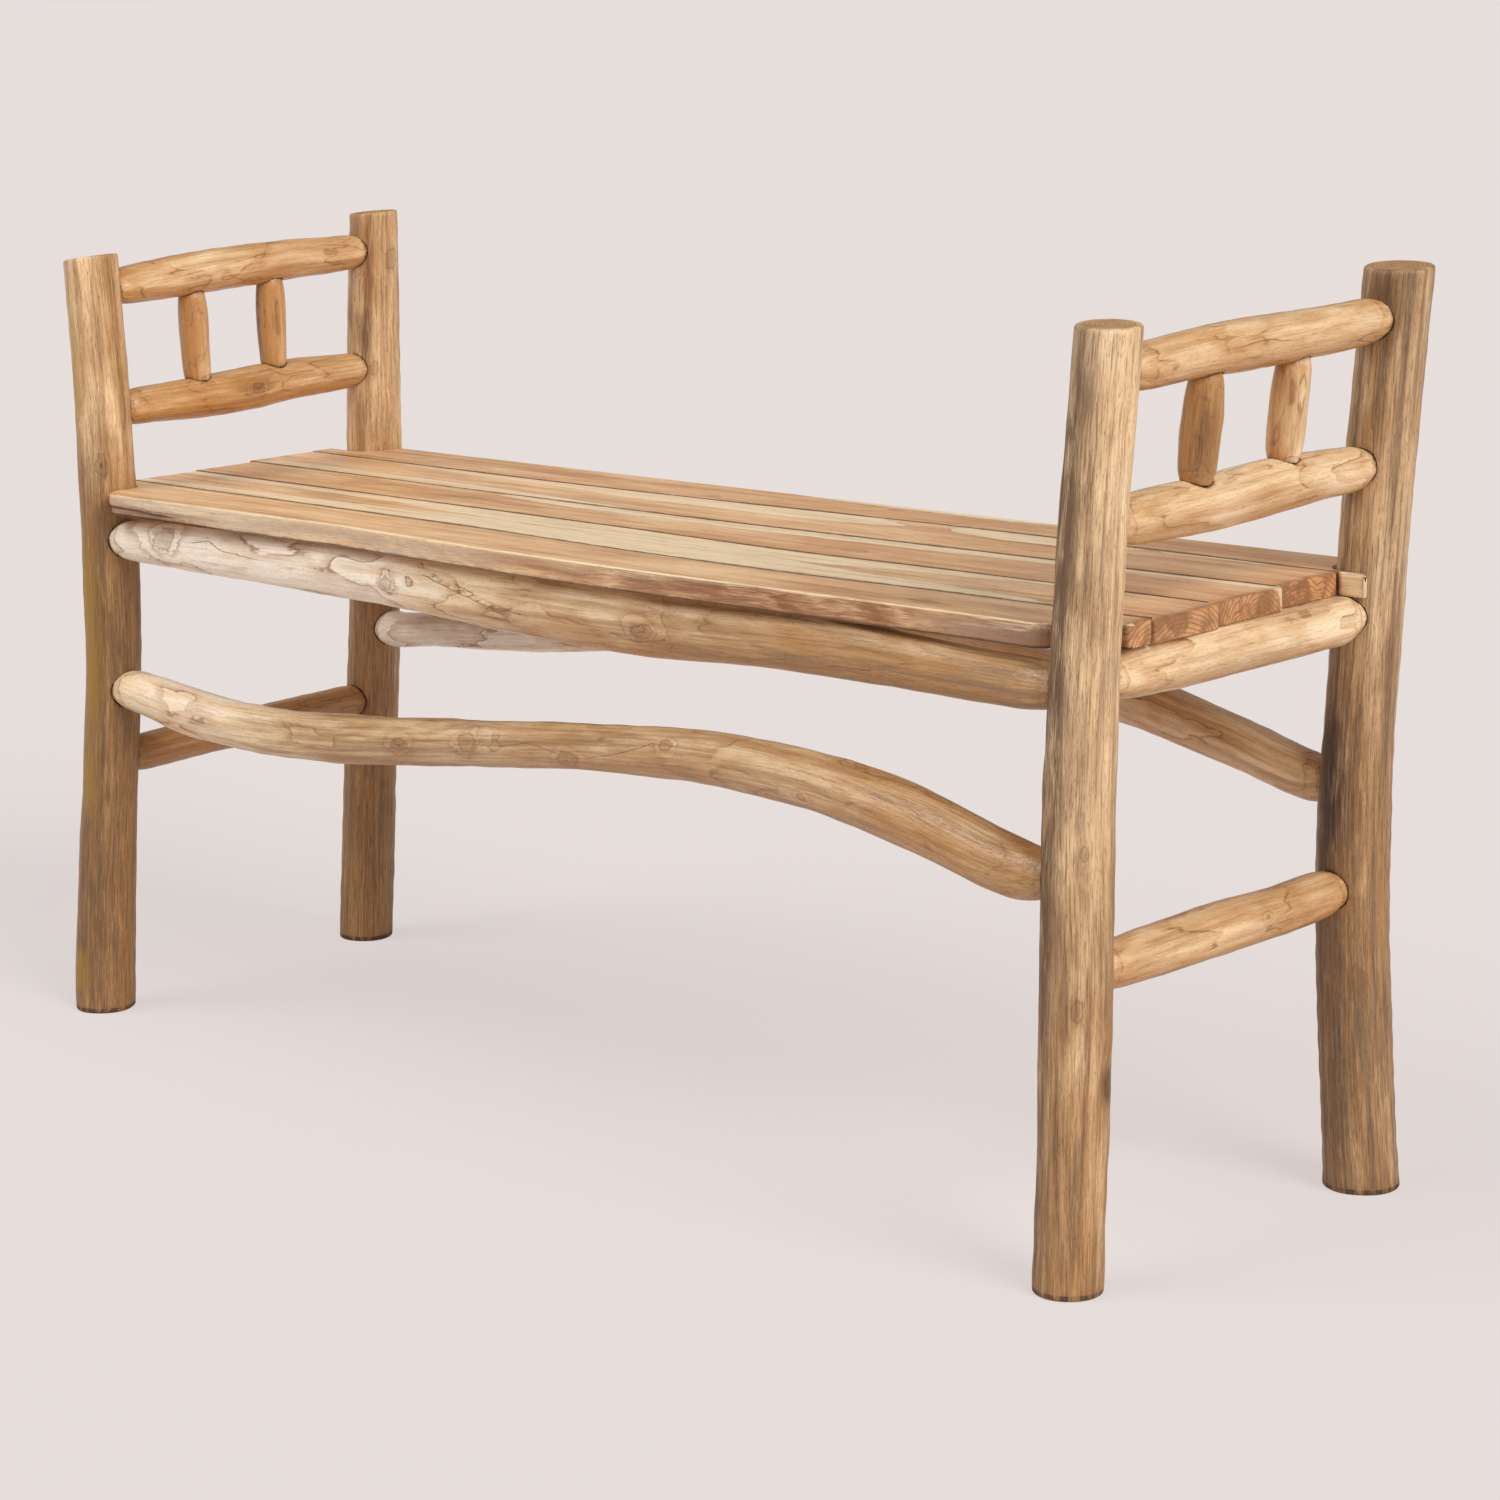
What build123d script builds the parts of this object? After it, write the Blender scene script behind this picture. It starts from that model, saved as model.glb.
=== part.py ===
"""Rustic log bench: four peeled teak posts, round rails and stretchers, a seat of five sawn planks.

Millimetres, +Z up, feet on Z = 0, origin at the middle of the footprint's box. X runs along the
bench, -Y is its front. A Post or a Member is a log: a centre line with a radius at each station,
drawn as tapering lengths between circles. It runs straight where something is let into it.
Rails, stretchers and spindles end in a tapered shoulder that is housed in the post, or in the arm
rail, and a round tenon beyond it. Each socket is the shoulder and the tenon grown by their gaps.
"""

from build123d import *
import os

# ---- Seat's height: the seat rails, stretchers, arms and posts all follow it ----
seat_height = 482.0
plank_thickness = 18.0
plank_underside = seat_height - plank_thickness

# ---- Posts ----
post_spacing_length = 1155.0  # between the feet of the left and right posts
post_spacing_depth = 320.0  # between the feet of the front and back posts
post_radius = 26.0  # the stations below add to this
sawn_rim_chamfer = 2.0  # softened rim of the sawn tops and feet
front_left_foot_shift = (2.0, 1.0)  # how far the feet stand off the corners of that spacing
back_left_foot_shift = (-2.0, -1.0)
front_right_foot_shift = (-13.0, -3.0)
back_right_foot_shift = (13.0, 3.0)

# ---- Heights of the round members' centre lines where they meet the posts ----
front_seat_rail_drop = 27.0  # down from the planks' underside
back_seat_rail_drop = 25.0
side_seat_rail_front_drop = 23.0
side_seat_rail_back_drop = 18.0
front_stretcher_drop = 137.0  # down from the seat rail above it
back_stretcher_left_drop = 132.0
back_stretcher_right_drop = 124.0
side_stretcher_front_drop = 209.0
side_stretcher_back_drop = 208.0
arm_low_front_rise = 67.0  # up from the seat
arm_low_back_rise = 77.0
arm_front_spacing = 107.0  # from the lower arm rail to the top one
arm_back_spacing = 110.0
front_post_rise = 35.0  # from the top arm rail to the post's sawn top
back_post_rise = 38.0

front_seat_rail_height = plank_underside - front_seat_rail_drop
back_seat_rail_height = plank_underside - back_seat_rail_drop
side_seat_rail_front_height = plank_underside - side_seat_rail_front_drop
side_seat_rail_back_height = plank_underside - side_seat_rail_back_drop
front_stretcher_height = front_seat_rail_height - front_stretcher_drop
back_stretcher_left_height = back_seat_rail_height - back_stretcher_left_drop
back_stretcher_right_height = back_seat_rail_height - back_stretcher_right_drop
side_stretcher_front_height = side_seat_rail_front_height - side_stretcher_front_drop
side_stretcher_back_height = side_seat_rail_back_height - side_stretcher_back_drop
arm_low_front_height = seat_height + arm_low_front_rise
arm_low_back_height = seat_height + arm_low_back_rise
arm_top_front_height = arm_low_front_height + arm_front_spacing
arm_top_back_height = arm_low_back_height + arm_back_spacing
front_post_height = arm_top_front_height + front_post_rise
back_post_height = arm_top_back_height + back_post_rise

# ---- Radii of the round members: at the post and at the middle ----
arm_rail_end_radius = 14.5
arm_rail_radius = 19.5
side_seat_rail_end_radius = 15.0
side_seat_rail_radius = 19.0
long_seat_rail_end_radius = 15.5
front_seat_rail_radius = 22.0
back_seat_rail_radius = 22.0
side_stretcher_end_radius = 15.0
side_stretcher_radius = 19.5
long_stretcher_end_radius = 16.5
front_stretcher_radius = 21.0
back_stretcher_radius = 20.0
spindle_end_radius = 12.5
spindle_radius = 15.0

# ---- Bows of the stretchers: the greatest rise of their centre lines over their ends ----
front_stretcher_bow = 40.0
back_stretcher_bow = 58.0

# ---- Joints ----
housing_depth = 7.0  # how deep a rail's rounded shoulder is let into the post
tenon_radius = 8.5
tenon_past_centre = 8.0  # a tenon that is alone at its height ends this far past the post's centre
tenon_corner_gap = 3.0  # wood left between two stub tenons that meet at one height
spindle_housing_depth = 4.5
spindle_tenon_radius = 5.5
spindle_tenon_length = 10.0
joint_gap = 0.2  # all round a housed shoulder and its tenon
tip_gap = 1.0  # glue room at the tip of a tenon
shoulder_taper = 1.2  # the shoulder is this much slimmer at the bottom of its housing
socket_mouth = 3.0  # how far a socket's cut runs out past the log's nominal surface

# ---- Places of the spindles, as shares of the arm rails' length ----
front_spindle_share = 0.335
left_back_spindle_share = 0.615
right_back_spindle_share = 0.64

# ---- Seat ----
plank_length = 1165.0
plank_widths = (70.0, 74.0, 75.0, 76.0, 56.0)  # front to back
plank_shifts = (-2.5, -4.5, -9.0, -18.0, -21.0)  # the sawn ends are out of line by these
plank_gap = 1.5
plank_arris = 1.2  # chamfer on the planks' top edges
post_notch_gap = 0.8  # between a corner plank and the post that it is notched around
seat_gap = 0.1  # between the planks and what they lie on
bearer_width = 45.0
bearer_thickness = 18.0
bearer_housing_depth = 14.0  # bearing of the bearer's ends on the long seat rails
bearer_end_gap = 0.3
side_rail_straight_length = 200.0  # of the side seat rails, under the planks
long_rail_straight_length = 230.0  # of the long seat rails, under the planks at the bearer

# ---- Screws, driven up from below ----
screw_radius = 2.0
screw_head_radius = 4.0
screw_head_depth = 3.0
screw_tip_cover = 7.0  # wood left above the tip
screw_gap = 0.15
side_screw_length = 38.0
rail_screw_length = 48.0
bearer_screw_length = 26.0
rail_screw_spacing = 380.0
side_screw_inset = 4.0  # from the side rails' centre lines towards the seat's middle

UP = Vector(0, 0, 1)
RIGHT = Vector(1, 0, 0)
bottom_align = (Align.CENTER, Align.CENTER, Align.MIN)
top_align = (Align.CENTER, Align.CENTER, Align.MAX)
section_spacing = 90.0  # about this far between the circles that a log is drawn through
straight_margin = 4.0  # of straight log beyond what is let into it
end_collar = 3.0  # of straight log where a rail, a stretcher or a spindle meets its shoulder


def smooth(stations, share):
    """Values at a share, on a smooth curve through stations of (share, value, value, ...)."""
    if share <= stations[0][0]:
        return stations[0][1:]
    if share >= stations[-1][0]:
        return stations[-1][1:]
    i = max(k for k in range(len(stations) - 1) if stations[k][0] <= share)

    def slope(k, column):
        before = stations[max(k - 1, 0)]
        after = stations[min(k + 1, len(stations) - 1)]
        return (after[column] - before[column]) / (after[0] - before[0])

    start, end = stations[i], stations[i + 1]
    span = end[0] - start[0]
    t = (share - start[0]) / span
    values = []
    for column in range(1, len(start)):
        values.append(
            (2 * t**3 - 3 * t**2 + 1) * start[column]
            + (t**3 - 2 * t**2 + t) * span * slope(i, column)
            + (3 * t**2 - 2 * t**3) * end[column]
            + (t**3 - t**2) * span * slope(i + 1, column)
        )
    return tuple(values)


def circle_places(low, high, straights, collar=0.0):
    """Where a log's circles lie from low to high, each with the place that gives its centre.

    The straights are (middle, half length). The circles at both ends of a straight share the
    centre and the radius of its middle, so that it is a cylinder. Straights that touch are one.
    A collar is a cylinder of that length at both ends of the log.
    """
    merged = []
    for middle, half in sorted(straights):
        if merged and middle - half < merged[-1][1] + straight_margin:
            merged[-1][1] = max(merged[-1][1], middle + half)
        else:
            merged.append([middle - half, middle + half])
    places = [(low, low), (low + collar, low)] if collar else [(low, low)]
    for first, last in [*merged, (high - collar, high - collar)]:
        start = places[-1][0]
        count = max(1, round((first - start) / section_spacing))
        between = [start + (first - start) * k / count for k in range(1, count)]
        places += [(place, place) for place in between]
        if last > first:
            middle = (first + last) / 2
            places += [(first, middle), (last, middle)]
    places += [(high - collar, high), (high, high)] if collar else [(high, high)]
    return places


def loft_circles(centres, radii, direction, across):
    """Tapering lengths between circles that all lie square to one direction."""
    circles = []
    for centre, radius in zip(centres, radii):
        plane = Plane(origin=centre, x_dir=across, z_dir=direction)
        circles.append(plane * Circle(radius))
    return loft(circles, ruled=True)


class Post:
    """An upright log. Its stations are (share of the height, aside X, aside Y, added radius).

    Its joints are (height, radius) of what is let into it.
    """

    def __init__(self, corner, foot_shift, height, joints, stations):
        self.foot = Vector(corner[0] + foot_shift[0], corner[1] + foot_shift[1], 0)
        self.height = height
        self.straights = [(level, radius + straight_margin) for level, radius in joints]
        self.stations = stations

    def centre(self, height):
        aside_x, aside_y, added = smooth(self.stations, height / self.height)
        return self.foot + Vector(aside_x, aside_y, height)

    def radius(self, height):
        return post_radius + smooth(self.stations, height / self.height)[2]

    def blank(self, grow=0.0):
        places = circle_places(0.0, self.height, self.straights)
        centres = [self.centre(source) + UP * (height - source) for height, source in places]
        radii = [self.radius(source) + grow for height, source in places]
        return loft_circles(centres, radii, UP, RIGHT)

    def solid(self):
        sawn = self.blank()
        rims = [sawn.edges().sort_by(Axis.Z)[0], sawn.edges().sort_by(Axis.Z)[-1]]
        return chamfer(rims, sawn_rim_chamfer)


class Member:
    """A log between two hosts, with a housed shoulder and a tenon at each end.

    Its stations are (share of the length, aside, upward, added radius). The first and the last
    place the ends of its centre line beside those of its hosts. The hosts' radii are
    those of the logs that it enters, and each reach is how far its tenon's tip stops short of
    the host's centre line. Its joints are (share, offset along it, half length) of what is let
    into it.
    """

    def __init__(self, ends, host_radii, reaches, end_radius, radius, stations, joint, joints=()):
        start, end = ends
        self.start, self.end = start, end
        self.length = (end - start).length
        self.direction = (end - start).normalized()
        flat = abs(self.direction.Z) < 0.5
        self.across = UP.cross(self.direction).normalized() if flat else RIGHT
        self.upward = self.direction.cross(self.across)
        self.host_radii = host_radii
        self.reaches = reaches
        self.end_radius = end_radius
        self.body_radius = radius
        self.depth, self.tenon_radius = joint
        self.stations = [(0.0, *stations[0][1:]), *stations, (1.0, *stations[-1][1:])]
        self.straights = [
            (share * self.length + offset, half + straight_margin) for share, offset, half in joints
        ]

    def centre(self, share):
        aside, upward, added = smooth(self.stations, share)
        along = self.start + self.direction * (share * self.length)
        return along + self.across * aside + self.upward * upward

    def radius(self, share):
        inner = [station for station in self.stations if 0 < station[0] < 1]
        return self.body_radius + smooth(inner, share)[2]

    def body(self):
        """The log between the two rims where it enters its hosts."""
        first = self.host_radii[0]
        last = self.length - self.host_radii[1]
        sides = [station for station in self.stations if 0 < station[0] < 1]
        swell = [(first, self.end_radius)]
        swell += [(share * self.length, self.body_radius + added) for share, *_, added in sides]
        swell += [(last, self.end_radius)]
        centres, radii = [], []
        for place, source in circle_places(first, last, self.straights, end_collar):
            centres.append(self.centre(source / self.length) + self.direction * (place - source))
            radii.append(smooth(swell, source)[0])
        return loft_circles(centres, radii, self.direction, self.across)

    def ends(self):
        """For each end: its plane at the bottom of the housing, the housing's depth, the reach."""
        both = (
            (self.start, self.direction, self.host_radii[0], self.reaches[0]),
            (self.end, -self.direction, self.host_radii[1], self.reaches[1]),
        )
        found = []
        for centre, inward, host_radius, reach in both:
            share = host_radius / self.length
            rim = self.centre(share if inward == self.direction else 1 - share)
            aside = rim - centre - inward * (rim - centre).dot(inward)
            floor = host_radius - self.depth
            root = Plane(origin=centre + aside + inward * floor, x_dir=self.across, z_dir=inward)
            found.append((root, floor - reach))
        return found

    def solid(self):
        shape = self.body()
        slim = self.end_radius - shoulder_taper
        for root, tenon_length in self.ends():
            shoulder = Cone(slim, self.end_radius, self.depth, align=bottom_align)
            tenon = Cylinder(self.tenon_radius, tenon_length + self.depth / 2, align=bottom_align)
            shape = shape + root * shoulder + (root * Pos(0, 0, -tenon_length)) * tenon
        return shape

    def sockets(self):
        """What is cut from the two hosts."""
        slope = shoulder_taper / self.depth
        mouth = self.depth + socket_mouth
        slim = self.end_radius - shoulder_taper + joint_gap - slope * joint_gap
        full = self.end_radius + joint_gap + slope * socket_mouth
        cuts = []
        for root, tenon_length in self.ends():
            bottom = root * Pos(0, 0, -joint_gap)
            shoulder = Cone(slim, full, mouth + joint_gap, align=bottom_align)
            hole = Cylinder(self.tenon_radius + joint_gap, tenon_length + tip_gap, align=top_align)
            cuts.append(bottom * shoulder + root * hole)
        return cuts


# ---- Posts: the feet stand a little out of square, the logs lean and bow as they grew ----
half_length = post_spacing_length / 2
half_depth = post_spacing_depth / 2
front_joints = (
    (side_stretcher_front_height, side_stretcher_end_radius),
    (front_stretcher_height, long_stretcher_end_radius),
    (front_seat_rail_height, long_seat_rail_end_radius),
    (side_seat_rail_front_height, side_seat_rail_end_radius),
    (arm_low_front_height, arm_rail_end_radius),
    (arm_top_front_height, arm_rail_end_radius),
)
back_joints = (
    (side_stretcher_back_height, side_stretcher_end_radius),
    (back_seat_rail_height, long_seat_rail_end_radius),
    (side_seat_rail_back_height, side_seat_rail_end_radius),
    (arm_low_back_height, arm_rail_end_radius),
    (arm_top_back_height, arm_rail_end_radius),
)
posts = {
    "front_left_post": Post(
        (-half_length, -half_depth),
        front_left_foot_shift,
        front_post_height,
        front_joints,
        (
            (0.00, 0, 0, 1.5),
            (0.15, 4, 4, 0.8),
            (0.30, 12, 11, -0.4),
            (0.45, 18, 17, -1.0),
            (0.60, 20, 19, -0.3),
            (0.80, 21, 21, -1.1),
            (1.00, 18, 18, -1.4),
        ),
    ),
    "back_left_post": Post(
        (-half_length, half_depth),
        back_left_foot_shift,
        back_post_height,
        (*back_joints, (back_stretcher_left_height, long_stretcher_end_radius)),
        (
            (0.00, 0, 0, 0.0),
            (0.15, 5, 4, 0.0),
            (0.30, 10, 10, -0.4),
            (0.45, 16, 15, -1.0),
            (0.70, 20, 20, 0.2),
            (0.85, 23, 23, -1.2),
            (1.00, 27, 26, -3.0),
        ),
    ),
    "front_right_post": Post(
        (half_length, -half_depth),
        front_right_foot_shift,
        front_post_height,
        front_joints,
        (
            (0.00, 0, 0, -0.2),
            (0.15, 2, 2, -0.1),
            (0.35, 5, 5, 0.6),
            (0.55, 7, 6, -0.6),
            (0.80, 14, 13, -1.7),
            (1.00, 22, 21, -2.0),
        ),
    ),
    "back_right_post": Post(
        (half_length, half_depth),
        back_right_foot_shift,
        back_post_height,
        (*back_joints, (back_stretcher_right_height, long_stretcher_end_radius)),
        (
            (0.00, 0, 0, 3.6),
            (0.15, -4, -4, 2.6),
            (0.30, -7, -6, 2.2),
            (0.45, -6, -5, 1.6),
            (0.60, -2, -1, 0.8),
            (0.80, 5, 6, 0.2),
            (1.00, 14, 13, 0.3),
        ),
    ),
}


def between_posts(first, second, heights, reach, end_radius, radius, stations, joints=()):
    """A rail or stretcher from one post's centre line to another's."""
    hosts = (posts[first], posts[second])
    ends = [host.centre(height) for host, height in zip(hosts, heights)]
    radii = [host.radius(height) for host, height in zip(hosts, heights)]
    joint = (housing_depth, tenon_radius)
    return Member(ends, radii, (reach, reach), end_radius, radius, stations, joint, joints)


def raised(bow, stations):
    """Stations whose upward places are given as shares of the bow."""
    return tuple((share, aside, upward * bow, added) for share, aside, upward, added in stations)


# ---- Rails and stretchers ----
deep_reach = -tenon_past_centre
corner_reach = tenon_radius + tenon_corner_gap
arm_top_heights = (arm_top_front_height, arm_top_back_height)
arm_low_heights = (arm_low_front_height, arm_low_back_height)
side_seat_heights = (side_seat_rail_front_height, side_seat_rail_back_height)
side_stretcher_heights = (side_stretcher_front_height, side_stretcher_back_height)
front_seat_heights = (front_seat_rail_height, front_seat_rail_height)
back_seat_heights = (back_seat_rail_height, back_seat_rail_height)
front_stretcher_heights = (front_stretcher_height, front_stretcher_height)
back_stretcher_heights = (back_stretcher_left_height, back_stretcher_right_height)
left_arm_joints = (
    (front_spindle_share, 0.0, spindle_end_radius),
    (left_back_spindle_share, 0.0, spindle_end_radius),
)
right_arm_joints = (
    (front_spindle_share, 0.0, spindle_end_radius),
    (right_back_spindle_share, 0.0, spindle_end_radius),
)
side_seat_joints = ((0.5, 0.0, side_rail_straight_length / 2),)
long_seat_joints = (
    (0.5, -rail_screw_spacing, screw_head_radius),
    (0.5, 0.0, long_rail_straight_length / 2),
    (0.5, rail_screw_spacing, screw_head_radius),
)

rails = {
    "left_arm_top_rail": between_posts(
        "front_left_post",
        "back_left_post",
        arm_top_heights,
        deep_reach,
        arm_rail_end_radius,
        arm_rail_radius,
        ((0.14, 1, 2, -3.0), (0.28, 1, 2, -0.5), (0.45, 1, 2, 0.2), (0.70, 1, 2, -1.2), (0.86, 1, 2, -3.6)),
        left_arm_joints,
    ),
    "left_arm_lower_rail": between_posts(
        "front_left_post",
        "back_left_post",
        arm_low_heights,
        deep_reach,
        arm_rail_end_radius,
        arm_rail_radius,
        ((0.14, -1, 1, -3.2), (0.28, -1, 1, -0.8), (0.48, -1, 1, 0.7), (0.70, -1, 1, -1.3), (0.86, -1, 1, -3.8)),
        left_arm_joints,
    ),
    "right_arm_top_rail": between_posts(
        "front_right_post",
        "back_right_post",
        arm_top_heights,
        deep_reach,
        arm_rail_end_radius,
        arm_rail_radius,
        ((0.14, -1, 0, -3.3), (0.28, -1, 0, -1.8), (0.45, -1, 0, -0.1), (0.68, -1, 0, -1.6), (0.86, -1, 0, -3.4)),
        right_arm_joints,
    ),
    "right_arm_lower_rail": between_posts(
        "front_right_post",
        "back_right_post",
        arm_low_heights,
        deep_reach,
        arm_rail_end_radius,
        arm_rail_radius,
        ((0.16, 1, 1, -1.5), (0.35, 1, 1, 0.6), (0.58, 1, 1, 1.1), (0.76, 1, 1, -1.2), (0.88, 1, 1, -3.2)),
        right_arm_joints,
    ),
    "left_side_seat_rail": between_posts(
        "front_left_post",
        "back_left_post",
        side_seat_heights,
        corner_reach,
        side_seat_rail_end_radius,
        side_seat_rail_radius,
        ((0.14, 1, 2, -2.4), (0.35, 1, 2, 0.7), (0.60, 1, 2, 1.0), (0.86, 1, 2, -2.4)),
        side_seat_joints,
    ),
    "right_side_seat_rail": between_posts(
        "front_right_post",
        "back_right_post",
        side_seat_heights,
        corner_reach,
        side_seat_rail_end_radius,
        side_seat_rail_radius,
        ((0.14, -1, 2, -2.0), (0.32, -1, 2, 0.8), (0.58, -1, 2, 1.0), (0.86, -1, 2, -2.2)),
        side_seat_joints,
    ),
    "left_side_stretcher": between_posts(
        "front_left_post",
        "back_left_post",
        side_stretcher_heights,
        deep_reach,
        side_stretcher_end_radius,
        side_stretcher_radius,
        ((0.14, 1, 1, -3.4), (0.32, 1, 1, -2.2), (0.60, 1, 1, -2.6), (0.86, 1, 1, -3.6)),
    ),
    "right_side_stretcher": between_posts(
        "front_right_post",
        "back_right_post",
        side_stretcher_heights,
        deep_reach,
        side_stretcher_end_radius,
        side_stretcher_radius,
        ((0.14, 1, 1, -2.3), (0.32, 1, 1, -0.2), (0.52, 1, 1, 0.8), (0.70, 1, 1, -1.0), (0.86, 1, 1, -2.6)),
    ),
    "front_seat_rail": between_posts(
        "front_left_post",
        "front_right_post",
        front_seat_heights,
        corner_reach,
        long_seat_rail_end_radius,
        front_seat_rail_radius,
        (
            (0.05, 0, 0, -4.0),
            (0.14, 1, 1, -2.0),
            (0.28, 3, 1, -0.6),
            (0.38, 4, 0, 0.6),
            (0.48, 5, 0.3, 5.0),
            (0.60, 5, -0.9, 5.0),
            (0.70, 4, -1, 0.0),
            (0.83, 2, 1, -1.6),
            (0.95, 0, 0, -3.6),
        ),
        long_seat_joints,
    ),
    "back_seat_rail": between_posts(
        "back_left_post",
        "back_right_post",
        back_seat_heights,
        corner_reach,
        long_seat_rail_end_radius,
        back_seat_rail_radius,
        (
            (0.05, 0, 0, -4.0),
            (0.20, -2, 1, -1.0),
            (0.50, -4, 0, 3.5),
            (0.78, -2, 1, -0.6),
            (0.95, 0, 0, -3.8),
        ),
        long_seat_joints,
    ),
    "front_stretcher": between_posts(
        "front_left_post",
        "front_right_post",
        front_stretcher_heights,
        deep_reach,
        long_stretcher_end_radius,
        front_stretcher_radius,
        raised(
            front_stretcher_bow,
            (
                (0.04, 0, 0.000, -2.6),
                (0.10, 1, -0.200, 0.4),
                (0.17, 3, -0.300, -0.4),
                (0.27, 5, -0.200, 0.4),
                (0.42, 6, 0.275, -1.2),
                (0.55, 4, 0.700, -2.0),
                (0.68, 0, 1.000, 0.0),
                (0.78, -3, 0.950, 1.4),
                (0.87, -4, 0.625, 3.0),
                (0.95, -1, 0.070, 0.2),
            ),
        ),
    ),
    "back_stretcher": between_posts(
        "back_left_post",
        "back_right_post",
        back_stretcher_heights,
        deep_reach,
        long_stretcher_end_radius,
        back_stretcher_radius,
        raised(
            back_stretcher_bow,
            (
                (0.04, 0, 0.050, -4.0),
                (0.10, -1, 0.172, -3.6),
                (0.22, -3, 0.379, -1.4),
                (0.36, -4, 0.759, 0.0),
                (0.52, -3, 1.000, 0.4),
                (0.68, 0, 0.966, 1.0),
                (0.80, 3, 0.724, 1.6),
                (0.90, 3, 0.345, 0.6),
                (0.96, 1, 0.045, -1.4),
            ),
        ),
    ),
}


# ---- Spindles, two in each arm ----
def spindle(lower, upper, share, swell):
    """A short barrel-shaped spindle between the two rails of an arm."""
    hosts = (rails[lower], rails[upper])
    ends = [host.centre(share) for host in hosts]
    radii = [host.radius(share) for host in hosts]
    reach = [radius - spindle_housing_depth - spindle_tenon_length for radius in radii]
    joint = (spindle_housing_depth, spindle_tenon_radius)
    stations = ((0.32, 0, 0, swell[0]), (0.50, 0, 0, swell[1]), (0.68, 0, 0, swell[2]))
    return Member(ends, radii, reach, spindle_end_radius, spindle_radius, stations, joint)


spindles = {
    "left_arm_front_spindle": ("left_arm", front_spindle_share, (-1.4, -0.4, -1.6)),
    "left_arm_back_spindle": ("left_arm", left_back_spindle_share, (-1.8, -0.8, -1.2)),
    "right_arm_front_spindle": ("right_arm", front_spindle_share, (-0.8, 0.8, -1.4)),
    "right_arm_back_spindle": ("right_arm", right_back_spindle_share, (-1.0, 0.6, -1.0)),
}
for name, (arm, share, swell) in spindles.items():
    spindles[name] = spindle(arm + "_lower_rail", arm + "_top_rail", share, swell)

parts = {name: post.solid() for name, post in posts.items()}
parts.update({name: rail.solid() for name, rail in rails.items()})
parts.update({name: member.solid() for name, member in spindles.items()})

# ---- Sockets: each post and arm rail is cut with what enters it ----
for rail in rails.values():
    for end, cut in zip((rail.start, rail.end), rail.sockets()):
        for post_name, post in posts.items():
            if (post.centre(end.Z) - end).length < 1.0:
                parts[post_name] = parts[post_name] - cut
for name, member in spindles.items():
    arm = "left_arm" if name.startswith("left") else "right_arm"
    for rail_name, cut in zip((arm + "_lower_rail", arm + "_top_rail"), member.sockets()):
        parts[rail_name] = parts[rail_name] - cut

# ---- Seat planks ----
seat_posts = {name: post.centre(plank_underside) for name, post in posts.items()}
seat_middle = sum(seat_posts.values(), Vector(0, 0, 0)) * (1 / len(seat_posts))
seat_depth = sum(plank_widths) + plank_gap * (len(plank_widths) - 1)
seat_front = seat_middle.Y - seat_depth / 2

# ---- The planks' long edges, front to back: how far each strays from a straight line, as
# (share of the length, stray). Between two planks it is the seam that both are sawn to.
edge_strays = (
    ((0.0, 0), (0.10, 0), (0.24, 3), (0.31, 5), (0.42, -2), (0.57, -7), (0.75, -2), (0.92, 3), (1.0, 0)),
    ((0.0, 0), (0.15, -1), (0.40, -5), (0.55, -13), (0.70, -15), (0.85, -8), (1.0, -5)),
    ((0.0, -3), (0.30, -6), (0.50, -9), (0.65, -14), (0.80, -9), (1.0, -6)),
    ((0.0, -8), (0.30, -12), (0.50, -14), (0.70, -8), (0.85, -4), (1.0, 0)),
    ((0.0, -8), (0.15, -11), (0.30, -13), (0.45, -10), (0.60, -3), (0.70, 1), (1.0, 0)),
    ((0.0, 0), (0.50, -2), (1.0, 0)),
)


def plank_outline(width, front_strays, back_strays):
    """Flat outline of a plank, its front edge about Y = 0 and its back edge about Y = width."""
    edges = []
    for offset, strays in ((0, front_strays), (width, back_strays)):
        points = [((share - 0.5) * plank_length, offset + stray) for share, stray in strays]
        edges.append(Spline(*points))
    ends = [Line(edges[0] @ share, edges[1] @ share) for share in (0, 1)]
    return make_face(Wire([*edges, *ends]))


def corner_notch(post, toward_x, toward_y):
    """What is cut from a plank's corner: the post, grown, and all that lies outside of it."""
    centre = post.centre(plank_underside)
    reach = post.radius(plank_underside) + post_notch_gap
    height = 3 * plank_thickness
    far = 2 * post_radius + plank_length / 4
    outside = []
    for inner_x, inner_y in ((reach, 0), (0, reach)):
        size_x, size_y = far + inner_x, far + inner_y
        place = (
            centre.X + toward_x * (far - inner_x) / 2,
            centre.Y + toward_y * (far - inner_y) / 2,
            seat_height,
        )
        outside.append(Location(place) * Box(size_x, size_y, height))
    return post.blank(grow=post_notch_gap) + outside


planks = {}
plank_spans = {}
front = seat_front
for index, (width, shift) in enumerate(zip(plank_widths, plank_shifts)):
    name = f"seat_plank_{index + 1}"
    first = index == 0
    last = index == len(plank_widths) - 1
    outline = plank_outline(width, edge_strays[index], edge_strays[index + 1])
    board = extrude(outline, plank_thickness)
    top_edges = board.faces().sort_by(Axis.Z)[-1].edges()
    board = chamfer(top_edges, plank_arris)
    board = Location((seat_middle.X + shift, front, plank_underside)) * board
    if first:
        board = board - corner_notch(posts["front_left_post"], -1, -1)
        board = board - corner_notch(posts["front_right_post"], 1, -1)
    if last:
        board = board - corner_notch(posts["back_left_post"], -1, 1)
        board = board - corner_notch(posts["back_right_post"], 1, 1)
    planks[name] = board
    plank_spans[name] = (front, front + width)
    front += width + plank_gap
parts.update(planks)

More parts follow.
